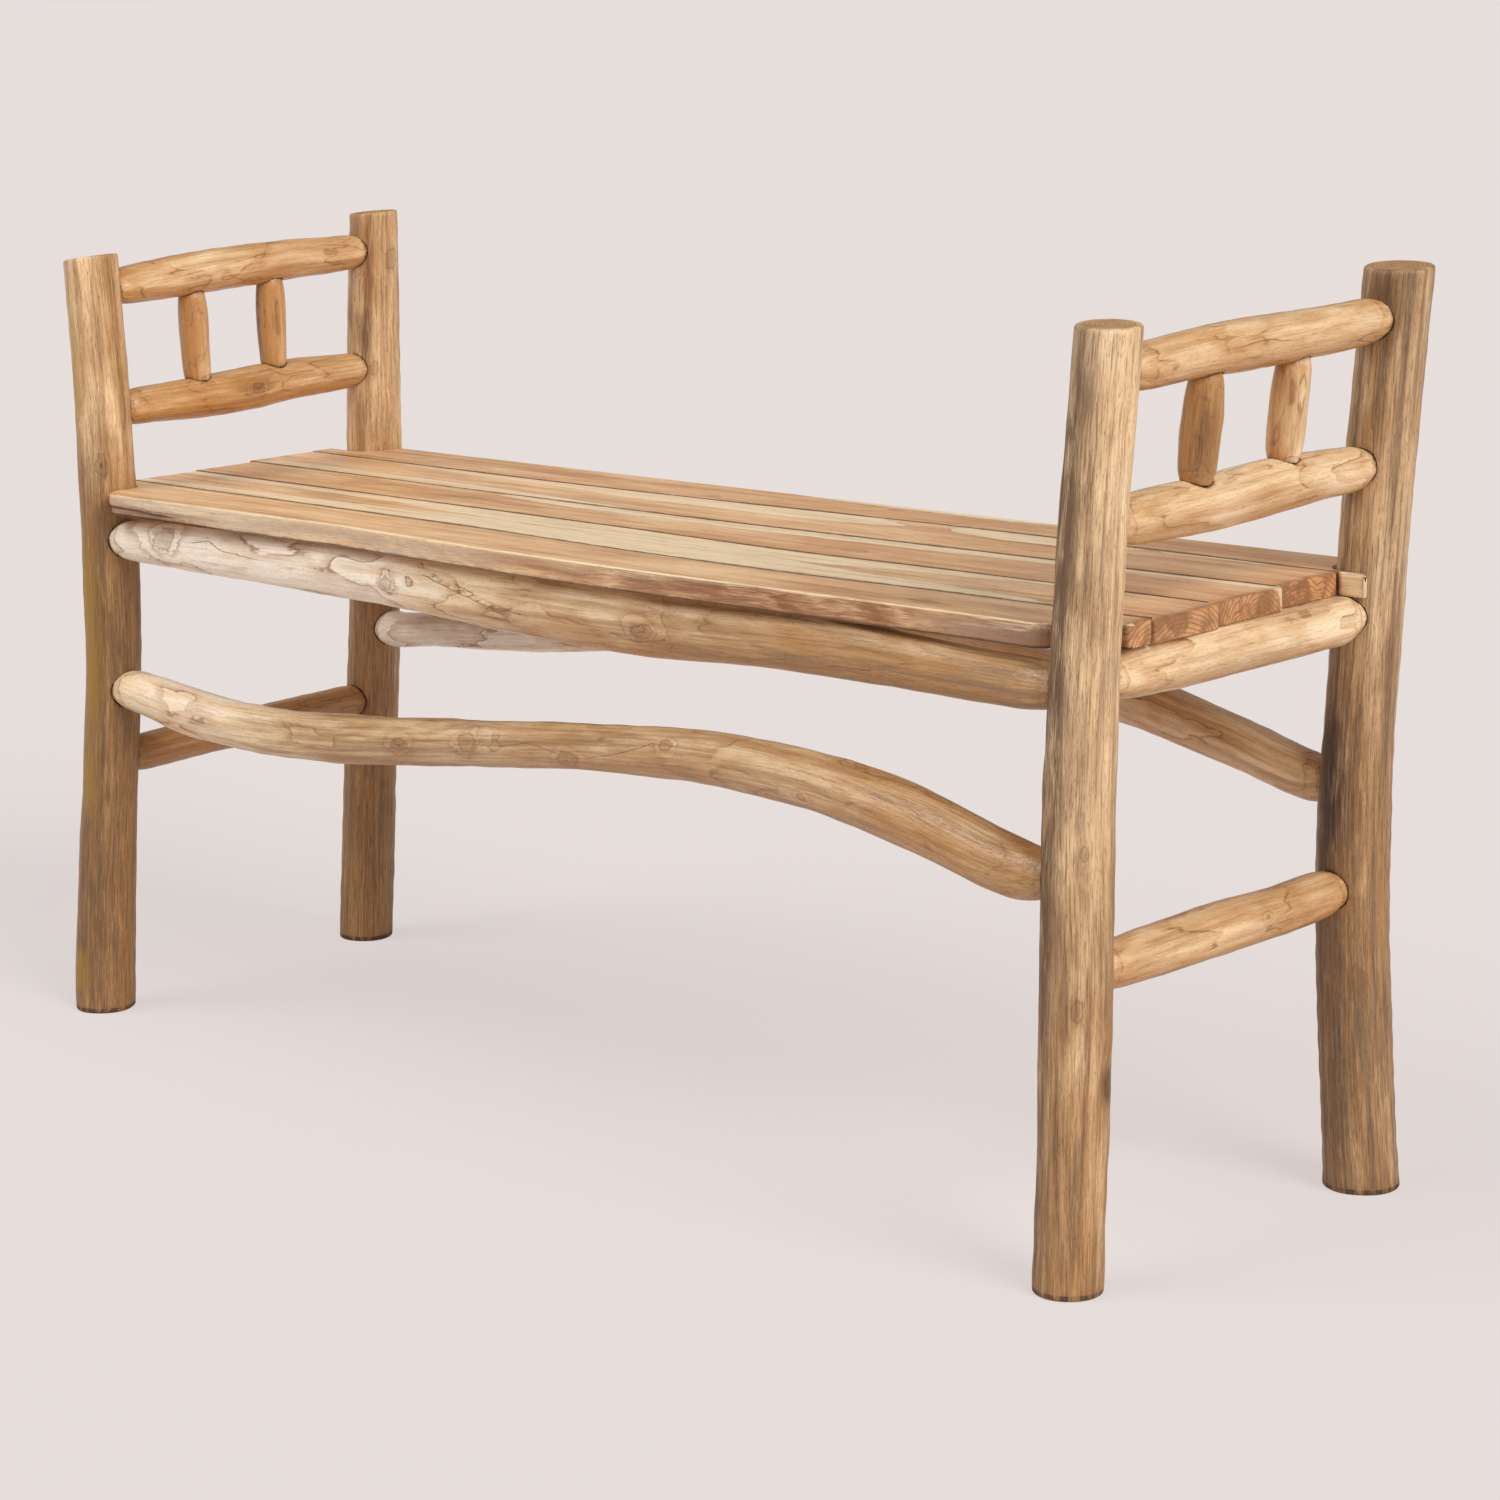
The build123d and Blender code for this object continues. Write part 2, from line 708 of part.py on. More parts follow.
# ---- Flats planed on the seat rails, where the planks lie ----
above_seat = Box(
    2 * post_spacing_length,
    2 * post_spacing_depth,
    post_spacing_depth,
    align=(Align.CENTER, Align.CENTER, Align.MIN),
)
above_seat = Location((0, 0, plank_underside - seat_gap)) * above_seat
for name in ("front_seat_rail", "back_seat_rail", "left_side_seat_rail", "right_side_seat_rail"):
    parts[name] = parts[name] - above_seat

# ---- Cross bearer, let into the two long seat rails ----
bearer_top = plank_underside - seat_gap
front_rail_middle = rails["front_seat_rail"].centre(0.5)
back_rail_middle = rails["back_seat_rail"].centre(0.5)
bearer_front = front_rail_middle.Y + rails["front_seat_rail"].radius(0.5) - bearer_housing_depth
bearer_back = back_rail_middle.Y - rails["back_seat_rail"].radius(0.5) + bearer_housing_depth
bearer_middle = Vector(front_rail_middle.X, (bearer_front + bearer_back) / 2, bearer_top)
bearer = Box(bearer_width, bearer_back - bearer_front, bearer_thickness, align=top_align)
parts["cross_bearer"] = Location(bearer_middle) * bearer
housing = Box(
    bearer_width + 2 * bearer_end_gap,
    bearer_back - bearer_front + 2 * bearer_end_gap,
    bearer_thickness + seat_gap,
    align=top_align,
)
for name in ("front_seat_rail", "back_seat_rail"):
    parts[name] = parts[name] - Location(bearer_middle) * housing


# ---- Screws ----
def screw(length, grow=0.0):
    """A countersunk screw that points up, its head's flat on Z = 0 and its tip at length."""
    head = Cone(screw_head_radius + grow, screw_radius + grow, screw_head_depth, align=bottom_align)
    return head + Cylinder(screw_radius + grow, length + grow, align=bottom_align)


def add_screws(node, length, places, receivers):
    """Screws up to the same depth in the planks, each with its hole in every receiver."""
    head_height = seat_height - screw_tip_cover - length
    screws = []
    for x, y in places:
        spot = Location((x, y, head_height))
        screws.append(spot * screw(length))
        well = Cylinder(screw_head_radius + screw_gap, head_height, align=top_align)
        hole = spot * (screw(length, screw_gap) + well)
        for receiver in receivers:
            parts[receiver] = parts[receiver] - hole
    parts[node] = Compound(screws)


def middle_of(plank):
    return sum(plank_spans[plank]) / 2


inner_planks = ("seat_plank_2", "seat_plank_3", "seat_plank_4")
for side in ("left", "right"):
    rail = rails[f"{side}_side_seat_rail"]
    inward = side_screw_inset if side == "left" else -side_screw_inset
    places = [(rail.centre(0.5).X + inward, middle_of(plank)) for plank in inner_planks]
    receivers = (*inner_planks, f"{side}_side_seat_rail")
    add_screws(f"{side}_plank_screws", side_screw_length, places, receivers)

for node, rail_name, plank in (
    ("front_rail_screws", "front_seat_rail", "seat_plank_1"),
    ("back_rail_screws", "back_seat_rail", "seat_plank_5"),
):
    rail = rails[rail_name]
    places = []
    for offset in (-rail_screw_spacing, rail_screw_spacing):
        share = 0.5 + offset / rail.length
        spot = rail.centre(share)
        places.append((spot.X, spot.Y))
    add_screws(node, rail_screw_length, places, (plank, rail_name))

places = [(bearer_middle.X, middle_of(plank)) for plank in inner_planks]
add_screws("bearer_screws", bearer_screw_length, places, (*inner_planks, "cross_bearer"))

# ---- Origin at the middle of the footprint's box, then one file for each piece ----
box = Compound(list(parts.values())).bounding_box()
to_origin = Location((-box.center().X, -box.center().Y, 0))
os.makedirs("parts", exist_ok=True)
for name, shape in parts.items():
    export_step(to_origin * shape, f"parts/{name}.step")
print("moved", -box.center().X, -box.center().Y, "size", box.size)
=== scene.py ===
"""Rustic log bench: the dressed pieces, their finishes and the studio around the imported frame.

Each round piece is a log: a surface over its length and the angle round it, whose radius is a
smooth curve with low natural swellings, knots and the mouths of its joints. Each plank is a
section carried along the bench. Lengths are in millimetres until a mesh is written in metres.
"""

import math
from functools import partial

import bpy
import numpy as np
from bpy.props import FloatProperty, FloatVectorProperty, PointerProperty
from mathutils import Matrix, Vector


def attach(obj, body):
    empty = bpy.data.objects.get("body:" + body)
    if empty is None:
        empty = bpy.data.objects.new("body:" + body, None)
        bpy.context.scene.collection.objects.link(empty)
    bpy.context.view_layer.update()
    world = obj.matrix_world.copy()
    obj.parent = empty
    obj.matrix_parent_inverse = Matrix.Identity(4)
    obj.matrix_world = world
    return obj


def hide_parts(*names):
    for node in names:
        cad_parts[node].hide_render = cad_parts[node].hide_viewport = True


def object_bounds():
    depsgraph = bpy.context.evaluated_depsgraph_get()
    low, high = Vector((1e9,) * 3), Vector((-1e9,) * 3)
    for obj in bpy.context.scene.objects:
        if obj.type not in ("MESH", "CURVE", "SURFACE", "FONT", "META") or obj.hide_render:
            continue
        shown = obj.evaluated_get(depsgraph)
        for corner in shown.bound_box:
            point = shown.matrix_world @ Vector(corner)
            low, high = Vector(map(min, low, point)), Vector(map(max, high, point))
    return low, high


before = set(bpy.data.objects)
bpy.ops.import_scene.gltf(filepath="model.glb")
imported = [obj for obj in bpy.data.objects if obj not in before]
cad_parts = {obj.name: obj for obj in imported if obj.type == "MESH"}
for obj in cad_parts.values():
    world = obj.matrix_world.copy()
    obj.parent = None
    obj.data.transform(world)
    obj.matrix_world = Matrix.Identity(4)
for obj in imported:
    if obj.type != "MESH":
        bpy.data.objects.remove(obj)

bl_info = {
    "name": "Rustic Log Bench",
    "version": (1, 0, 0),
    "blender": (4, 5, 0),
    "location": "View3D > Sidebar > Log Bench",
    "description": "Builds a log bench with a plank seat, and its studio",
    "category": "Add Mesh",
}

CAD_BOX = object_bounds()
MM = 0.001
TAU = 2 * math.pi
SHARP_ANGLE = 50  # degrees between two faces, above which their edge is drawn sharp

# ---- Sizes shared with the frame's solids ----
SHIFT = np.array((-12.569, -9.597, 0.0))  # from the posts' nominal corners to the frame's origin
POST_RADIUS = 26.0
# How far each post's sawn top rises for each millimetre towards +X and +Y
TOP_SLOPES = {
    "front_left_post": (0.15, 0.02), "back_left_post": (0.05, 0.03),
    "front_right_post": (-0.05, 0.05), "back_right_post": (-0.03, 0.06),
}
HOUSING_DEPTH = 7.0
SPINDLE_HOUSING_DEPTH = 4.5
SHOULDER_TAPER = 1.2
SEAT_HEIGHT = 482.0
PLANK_THICKNESS = 18.0
PLANK_LENGTH = 1165.0
PLANK_WIDTHS = (70.0, 74.0, 75.0, 76.0, 56.0)
PLANK_SHIFTS = (-2.5, -4.5, -9.0, -18.0, -21.0)
PLANK_ENDS = (0.0, 4.0, 4.0, 6.0, 32.0)  # how far past its length each right end was left
PLANK_GAP = 1.5
NOTCH_GAP = 0.8
CORNER_ROUND = 19.0  # of the front plank's corners beside the posts
SEAT_GAP = 0.1

# The planks' long edges, front to back: stray from a straight line at shares of the length
EDGE_STRAYS = (
    ((0, 0), (0.1, 0), (0.24, 3), (0.31, 5), (0.42, -2), (0.57, -7), (0.75, -2), (0.92, 3), (1, 0)),
    ((0, 0), (0.15, -1), (0.4, -5), (0.55, -13), (0.7, -15), (0.85, -8), (1, -5)),
    ((0, -3), (0.3, -6), (0.5, -9), (0.65, -14), (0.8, -9), (1, -6)),
    ((0, -8), (0.3, -12), (0.5, -14), (0.7, -8), (0.85, -4), (1, 0)),
    ((0, -8), (0.15, -11), (0.3, -13), (0.45, -10), (0.6, -3), (0.7, 1), (1, 0)),
    ((0, 0), (0.5, -2), (1, 0)),
)

# Post: foot X, foot Y, height, stations of (share of the height, aside X, aside Y, added radius)
POSTS = {
    "front_left_post": (-575.5, -159, 691, (
        (0, 0, 0, 1.5), (0.15, 4, 4, 0.8), (0.3, 12, 11, -0.4), (0.45, 18, 17, -1),
        (0.6, 20, 19, -0.3), (0.8, 21, 21, -1.1), (1, 18, 18, -1.4))),
    "back_left_post": (-579.5, 159, 707, (
        (0, 0, 0, 0), (0.15, 5, 4, 0), (0.3, 10, 10, -0.4), (0.45, 16, 15, -1),
        (0.7, 20, 20, 0.2), (0.85, 23, 23, -1.2), (1, 27, 26, -3))),
    "front_right_post": (564.5, -163, 691, (
        (0, 0, 0, -0.2), (0.15, 2, 2, -0.1), (0.35, 5, 5, 0.6), (0.55, 7, 6, -0.6),
        (0.8, 14, 13, -1.7), (1, 22, 21, -2))),
    "back_right_post": (590.5, 163, 707, (
        (0, 0, 0, 3.6), (0.15, -4, -4, 2.6), (0.3, -7, -6, 2.2), (0.45, -6, -5, 1.6),
        (0.6, -2, -1, 0.8), (0.8, 5, 6, 0.2), (1, 14, 13, 0.3))),
}

# Rail: its two posts, its heights on them, end radius, radius, and stations of
# (share of the length, aside, upward, added radius)
LEFT_END = ("front_left_post", "back_left_post")
RIGHT_END = ("front_right_post", "back_right_post")
FRONT = ("front_left_post", "front_right_post")
BACK = ("back_left_post", "back_right_post")
RAILS = {
    "left_arm_top_rail": (LEFT_END, (656, 669), 14.5, 19.5, (
        (0.14, 1, 2, -3), (0.28, 1, 3, -0.5), (0.45, 2, 4, 0.2), (0.7, 1, 4, -1.2),
        (0.86, 1, 2, -3.6))),
    "left_arm_lower_rail": (LEFT_END, (549, 559), 14.5, 19.5, (
        (0.14, -1, 1, -3.2), (0.28, -1, 0, -0.8), (0.48, -2, 0, 0.7), (0.7, -1, 2, -1.3),
        (0.86, -1, 1, -3.8))),
    "right_arm_top_rail": (RIGHT_END, (656, 669), 14.5, 19.5, (
        (0.14, -1, 0, -3.3), (0.28, -1, 1, -1.8), (0.45, -2, 1, -0.1), (0.68, -1, 0, -1.6),
        (0.86, -1, 0, -3.4))),
    "right_arm_lower_rail": (RIGHT_END, (549, 559), 14.5, 19.5, (
        (0.16, 1, 1, -1.5), (0.35, 1, 0, 0.6), (0.58, 2, 2, 1.1), (0.76, 1, 2, -1.2),
        (0.88, 1, 1, -3.2))),
    "left_side_seat_rail": (LEFT_END, (441, 446), 15, 19, (
        (0.14, 1, 2, -2.4), (0.35, 1, 2, 0.7), (0.6, 1, 2, 1), (0.86, 1, 2, -2.4))),
    "right_side_seat_rail": (RIGHT_END, (441, 446), 15, 19, (
        (0.14, -1, 2, -2), (0.32, -1, 2, 0.8), (0.58, -1, 2, 1.6), (0.86, -1, 2, -0.2))),
    "left_side_stretcher": (LEFT_END, (232, 238), 15, 19.5, (
        (0.14, 1, 1, -3.4), (0.32, 1, 2, -2.2), (0.6, 2, 1, -2.6), (0.86, 1, 1, -3.6))),
    "right_side_stretcher": (RIGHT_END, (232, 238), 15, 19.5, (
        (0.14, 1, 1, -2.3), (0.32, 1, 1, -0.2), (0.52, 1, 1, 0.8), (0.7, 0, 0, -1),
        (0.86, 1, 1, -2.6))),
    "front_seat_rail": (FRONT, (437, 437), 15.5, 22, (
        (0.05, 0, 0, -4), (0.14, 1, 1, -2), (0.28, 3, 1, -0.6), (0.38, 4, 0, 0.6),
        (0.48, 5, -0.5, 4.4), (0.6, 5, -1, 5), (0.7, 4, -1, 0), (0.83, 2, 1, -1.6),
        (0.95, 0, 0, -3.6))),
    "back_seat_rail": (BACK, (439, 439), 15.5, 22, (
        (0.05, 0, 0, -4), (0.2, -2, 1, -1), (0.5, -4, -1, 3.5), (0.78, -2, 1, -0.6),
        (0.95, 0, 0, -3.8))),
    "front_stretcher": (FRONT, (300, 300), 16.5, 21, (
        (0.04, 0, 0, -2.6), (0.1, 1, -8, 0.4), (0.17, 3, -12, -0.4), (0.27, 5, -8, 0.4),
        (0.42, 6, 11, -1.2), (0.55, 4, 28, -2), (0.68, 0, 40, 0), (0.78, -3, 38, 1.4),
        (0.87, -4, 25, 3), (0.95, -1, 2.8, 0.2))),
    "back_stretcher": (BACK, (307, 315), 16.5, 20, (
        (0.04, 0, 2.9, -4), (0.1, -1, 10, -3.6), (0.22, -3, 22, -1.4), (0.36, -4, 44, 0),
        (0.52, -3, 58, 0.4), (0.68, 0, 56, 1), (0.8, 3, 42, 1.6), (0.9, 3, 20, 0.6),
        (0.96, 1, 2.6, -1.4))),
}

# Where a seat rail swells up to the planks: degrees round it, (share of the length, millimetres)
LIFTS = {
    "left_side_seat_rail": (100, ((0, 3), (1, 3))),
    "right_side_seat_rail": (105, ((0, 3), (1, 3))),
    "front_seat_rail": (118, (
        (0, 2), (0.1, 4), (0.6, 4.5), (0.68, 5.5), (0.75, 7), (0.8, 6), (0.86, 2.5), (0.91, 0),
        (1, 0))),
}

# Spindle: its arm, its share of the arm rails' length, added radii of its barrel
SPINDLE_RADIUS = 14.4
SPINDLE_END_RADIUS = 12.0
SPINDLE_STATIONS = (0.24, 0.36, 0.52, 0.66, 0.78)
SPINDLES = {
    "left_arm_front_spindle": ("left_arm", 0.335, (-1.8, -0.8, -0.2, -0.9, -2)),
    "left_arm_back_spindle": ("left_arm", 0.615, (-2.2, -1.4, -0.8, -1, -1.9)),
    "right_arm_front_spindle": ("right_arm", 0.335, (-1.1, -0.2, 0.3, -0.4, -1.6)),
    "right_arm_back_spindle": ("right_arm", 0.64, (-1.3, -0.3, 0.2, -0.3, -1.4)),
}

# ---- How each log grew ----
# Colour along it: (share of the length, tone from pale to tan, grey-brown weathering)
# The posts grow tanner towards their feet, partly the wood's own colour and partly painted shade for
# light that falls off downwards.
TONES = {
    "front_left_post": ((0, 1.4, 0.45), (0.62, 1.25, 0.45), (0.78, 0.55, 0.1), (1, 0.55, 0.1)),
    "back_left_post": ((0, 1.1, 0.6), (0.5, 0.95, 0.45), (0.72, 0.6, 0.2), (1, 0.55, 0.2)),
    "front_right_post": ((0, 0.9, 0.5), (0.35, 0.72, 0.45), (0.6, 0.3, 0.35), (1, 0.15, 0.3)),
    "back_right_post": ((0, 0.9, 1), (0.4, 0.85, 0.85), (0.7, 0.6, 0.75), (1, 0.6, 0.85)),
    "front_seat_rail": (
        (0, -0.9, 0), (0.3, -0.6, 0), (0.5, 0.35, 0.3), (0.8, 0.7, 1), (1, 0.7, 1.2)),
    "back_seat_rail": ((0, 0.5, 0.2), (1, 0.5, 0.2)),
    "front_stretcher": (
        (0, 0, 0), (0.1, -0.3, 0.05), (0.2, 0.2, 0.6), (0.4, 0.42, 0.9), (0.6, 0.45, 0.8),
        (0.75, 0.35, 0.55), (1, 0.85, 0.8)),
    "back_stretcher": ((0, -0.9, 0), (0.3, -0.3, 0.1), (1, 0.4, 0.15)),
    "left_side_stretcher": ((0, 0.75, 0.45), (1, 0.85, 0.5)),
    "right_side_stretcher": ((0, 0.6, 0.1), (1, 0.65, 0.1)),
    "right_side_seat_rail": ((0, 0.25, 0.05), (1, 0.1, 0.05)),
    "left_arm_top_rail": ((0, 0.6, 0.1), (1, 0.65, 0.1)),
    "left_arm_lower_rail": ((0, 0.8, 0.15), (1, 0.8, 0.15)),
    "right_arm_top_rail": ((0, 0.55, 0), (1, 0.6, 0.05)),
    "right_arm_lower_rail": ((0, 0.4, 0), (0.5, 0.55, 0.05), (1, 0.5, 0.05)),
    "left_arm_front_spindle": ((0, 0.7, 0.2), (1, 0.75, 0.2)),
    "left_arm_back_spindle": ((0, 0.8, 0.25), (1, 0.85, 0.3)),
    "right_arm_front_spindle": ((0, 0.4, 0.15), (0.2, 1.4, 0.5), (0.75, 1.5, 0.5), (1, 0.4, 0.1)),
}
DEFAULT_TONES = ((0, 0.5, 0.05), (1, 0.5, 0.05))

# Knots: (place along it, degrees round it, size, height of the swelling)
KNOTS = {
    "front_seat_rail": (
        (104, 158, 11, 0.2), (407, 176, 7, 1), (710, 187, 8, 1.2), (941, 191, 4, 0.6)),
    "front_stretcher": (
        (415, 178, 7, 0.6), (500, 168, 9, 0.8), (621, 205, 9, 1.4), (735, 150, 5, 0.9),
        (886, 196, 4, 0.9), (1011, 190, 3, 0.6)),
    "front_left_post": ((505, -47, 7, 0.9),),
    "front_right_post": ((157, 16, 7, -0.8), (217, -50, 6, 0.6), (327, -40, 4, 0.4)),
    "back_right_post": ((172, -47, 8, 0.8), (115, -60, 4, 0.5)),
    "back_left_post": ((662, 4, 8, 1.2), (560, -40, 5, 0.8)),
    "left_arm_lower_rail": ((160, 172, 6, 0.8),),
    "right_side_stretcher": ((190, 165, 3, 0.4),),
}
KNOT_STRETCH = 0.6  # a knot reaches farther along the fibres than across them
NO_KNOT = 3.0  # a distance in knot sizes that is out of a knot's reach

# Drying cracks and hard dark lines: places along it with the degrees round it
CRACKS = {
    "front_seat_rail": (
        ((145, 158), (165, 150), (190, 166), (232, 172)), ((450, 150), (500, 172), (560, 196)),
        ((462, 146), (512, 166), (575, 190)), ((676, 196), (705, 206), (735, 196)),
        ((905, 204), (941, 198), (970, 176), (990, 168))),
    "front_stretcher": (((540, 176), (575, 168), (610, 186)), ((640, 196), (690, 176), (720, 150))),
    "front_left_post": (
        ((668, 4), (640, 0), (618, 2)), ((655, 12), (620, 10), (588, 14)), ((642, -9), (600, -7))),
    "front_right_post": (((120, 12), (157, 17), (185, 12)), ((560, -60), (610, -57), (640, -60))),
    "back_left_post": (((570, -64), (600, -60), (638, -56)), ((574, -57), (596, -53))),
    "back_right_post": (((40, -60), (160, -57), (215, -60)), ((380, -75), (520, -70), (610, -74))),
    "left_arm_top_rail": (
        ((92, 172), (130, 163), (182, 152)), ((250, 142), (285, 152), (302, 174))),
    "left_arm_lower_rail": (
        ((98, 140), (76, 170), (56, 202)), ((200, 152), (252, 160), (232, 196))),
    "left_arm_front_spindle": (
        ((20, 250), (24, 290), (17, 315), (24, 340), (19, 380)),
        ((82, 250), (87, 300), (83, 345), (88, 380)), ((92, 270), (94, 320), (91, 370))),
    "left_arm_back_spindle": (
        ((42, 270), (31, 305), (34, 335), (46, 370)), ((76, 280), (84, 320), (79, 370))),
    "right_arm_top_rail": (((120, 176), (150, 168), (172, 178)), ((285, 160), (300, 148), (322, 166))),
    "right_arm_front_spindle": (((66, 270), (72, 310), (64, 350)), ((28, 370), (36, 330), (26, 290))),
}

MARK_RADIUS = 0.8 * POST_RADIUS  # turns an angle round a log into millimetres, for its marks

# Stains: (place along it, degrees round it, half length, half width, darkness, yellow)
# The posts' long dark stains round their left sides, at -70 to -120 degrees, are partly the wood's own
# discoloration and partly painted shade on the side away from the key lamp. The front left post's two
# wide ones at -50 and -60 degrees make its front darker lower down.
STAINS = {
    "front_left_post": (
        (350, -108, 90, 14, 0.1, 0.9), (215, -112, 30, 12, 0.1, 0.8), (40, -108, 20, 12, 0.1, 0.8),
        (590, -100, 50, 9, 0, 0.5), (440, -60, 130, 12, 0.35, 0), (170, -50, 230, 34, 0.4, 0)),
    "front_right_post": (
        (500, -115, 230, 22, 1, 0), (150, -120, 170, 12, 0.6, 0), (157, 16, 14, 7, 0.9, 0)),
    "back_right_post": (
        (325, -94, 60, 12, 0.7, 0), (680, -85, 34, 15, 0.8, 0), (230, -110, 160, 12, 0.5, 0),
        (520, -115, 120, 8, 0.4, 0)),
    "back_left_post": (
        (650, -100, 60, 10, 0.3, 0), (250, -70, 150, 12, 0.3, 0), (592, -60, 24, 6, 0.9, 0)),
    "left_arm_lower_rail": ((160, 172, 26, 10, 0.5, 0),),
    "left_arm_back_spindle": ((52, 255, 48, 6, 0.9, 0),),
    "right_side_seat_rail": ((160, 200, 60, 9, 0.2, 0),),
    "right_arm_front_spindle": ((48, 315, 26, 16, 0.7, 0),),
}
NO_CRACK = 40.0  # a distance in millimetres that is out of every line's reach

# Waves in a surface: how many, sizes in millimetres, counts round it, lengths along it
SWELLINGS = (14, (0.2, 0.75), (1, 4), (90, 520))
DENTS = (12, (0.08, 0.3), (2, 9), (20, 80))
MEAN_SWELLING = 0.4  # comes off again, so that a log keeps its thickness
TORN_RIM = (9, (0.2, 0.6), (3, 17), (40, 90))
FLUTTER = (10, (0.05, 0.2), (1, 5), (40, 300))
GROOVES = (16, (0.1, 0.6), (1, 9), (60, 500))
SEAM_OPENING = (8, (0.2, 0.5), (1, 2), (150, 700))
WINDING_LENGTH = 900.0  # a wave winds up to about 3 radians round a log over this length
NOSE_LENGTHS = (28.0, 5.0)  # how slowly a rail's nose fades inward, and how fast it rises
SHORT_LOG = 250.0  # a log shorter than this has a lower nose
HIDDEN_RIM = 0.4  # rounding of a rail's end inside its post, in millimetres
FADE_LENGTH = 30.0  # the swellings come in over this length from a joint
LIFT_WIDTH = 0.75  # radians round a seat rail
FOOT_SHADOW = 4.5  # height of the painted contact shadow round a post's foot
TILT_SHARE = 0.1  # the slant of a sawn top fades out over this share of the post

# ---- How each plank was cut, in the frame's Y at shares of the length ----
# Sapwood strips, and the heartwood strips within them: (share, front side, back side)
SAPWOOD = {
    1: (((0.02, -195, -176), (0.1, -195, -171), (0.2, -195, -168), (0.35, -195, -173),
         (0.44, -195, -182)),
        ((0.49, -195, -186), (0.55, -195, -180), (0.7, -195, -178), (0.78, -195, -186))),
    2: (((0, -130, 0), (1, -130, 0)),),
    3: (((0.3, 25, 26), (0.35, 17, 60), (0.4, 11, 60), (0.5, 8, 60), (0.6, 12, 60), (0.7, 18, 60),
         (0.8, 23, 60), (0.9, 31, 60), (1, 34, 60)),),
    4: (((0, 109, 130), (0.1, 107, 130), (0.2, 99, 130), (0.3, 95, 130), (0.4, 81, 130), (0.5, 80, 130),
         (0.6, 86, 130), (0.64, 92, 112), (0.66, 101, 103)),
        ((0.69, 112, 113), (0.7, 100, 130), (0.75, 92, 130), (0.8, 94, 130), (0.85, 116, 130)),
        ((0.87, 116, 130), (0.95, 117, 130)),
        ((0.02, 20, 58), (0.15, 20, 60), (0.3, 20, 52), (0.42, 20, 42), (0.5, 20, 31))),
    5: (((0.48, 178, 210), (0.55, 170, 210), (0.7, 168, 210), (0.78, 178, 210)),),
}
HEARTWOOD = {
    2: (((0, -90, -50), (0.09, -84, -54), (0.2, -82, -54), (0.3, -78, -58), (0.37, -68, -67)),
        ((0.69, -80, -79), (0.75, -86, -68), (0.8, -90, -58), (0.85, -94, -49), (0.9, -97, -43),
         (0.95, -130, 0), (1, -130, 0))),
}
PLANK_TONES = {1: 0.45, 2: 0.45, 3: 0.62, 4: 0.5, 5: 0.6}
PLANK_LINES = {
    1: (((0.13, -168), (0.2, -164), (0.31, -168)), ((0.8, -160), (0.85, -152), (0.9, -160))),
    3: (((0.25, 6), (0.275, 0), (0.3, -8)), ((0.3, -8), (0.33, -5), (0.36, -9))),
    4: (((0.62, 70), (0.7, 62), (0.8, 66)),),
}
PLANK_KNOTS = {
    1: ((0.85, -152, 9),), 3: ((0.69, -15, 8),), 5: ((0.45, 128, 5), (0.605, 160, 5)),
}
END_KNOTS = {3: 0.35, 4: 0.62}  # planks with a knot in their right end, and its share of the width
# Dark streaks in a plank: (share, Y, half length, half width, darkness)
PLANK_STAINS = {
    1: ((0.83, -186, 45, 10, 0.9), (0.22, -164, 60, 4, 0.4)),
    3: ((0.175, 10, 30, 12, 0.5), (0.29, -2, 40, 5, 0.5)),
    2: ((0.215, -66, 70, 8, 0.35),),
    5: ((0.3, 150, 160, 6, 0.25),),
}
# How brown the front plank's edge is along it: (share, darkness)
FRONT_BROWN = (
    (0.17, 0.2), (0.45, 0.3), (0.52, 0.5), (0.62, 0.8), (0.72, 0.9), (0.75, 1), (0.84, 1),
    (0.87, 0.6), (0.93, 0.9), (1, 1))
# How grey it is along it, and how far down the lip under its left end lies: (share, value)
FRONT_GREY = ((0, 0.5), (0.06, 1), (0.45, 1), (0.52, 0.15), (0.86, 0.2), (0.9, 1), (1, 1))
FRONT_LIP = ((0, 12.5), (0.03, 10), (0.12, 14), (0.18, 19), (1, 30))
SAP_SLOPE = 0.35  # how much narrower sapwood gets for each millimetre down
END_KNOT_SIZE = 5.5
# Where each plank's pith lay: across from its front edge, and below its top
PITHS = {1: (62, -26), 2: (24, -48), 3: (44, -34), 4: (30, -60), 5: (36, -30)}


# ---------------------------------------------------------------- curves and logs
def smooth(stations, at):
    """Cubic Hermite curve through stations of (place, value, value, ...).

    With t the share of the way from station i to i+1 and h their distance, the value is
    (2t^3 - 3t^2 + 1) v_i + (t^3 - 2t^2 + t) h m_i + (3t^2 - 2t^3) v_i+1 + (t^3 - t^2) h m_i+1,
    where each slope m is that of the chord between the neighbours. Beyond the ends it is level.
    """
    table = np.array(stations, float)
    places, values = table[:, 0], table[:, 1:]
    order = np.arange(len(places))
    before, after = np.maximum(order - 1, 0), np.minimum(order + 1, len(places) - 1)
    slopes = (values[after] - values[before]) / (places[after] - places[before])[:, None]
    inside = np.clip(np.asarray(at, float), places[0], places[-1])
    i = np.clip(np.searchsorted(places, inside, side="right") - 1, 0, len(places) - 2)
    span = (places[i + 1] - places[i])[..., None]
    t = (inside - places[i])[..., None] / span
    return (
        (2 * t**3 - 3 * t**2 + 1) * values[i]
        + (t**3 - 2 * t**2 + t) * span * slopes[i]
        + (3 * t**2 - 2 * t**3) * values[i + 1]
        + (t**3 - t**2) * span * slopes[i + 1]
    )


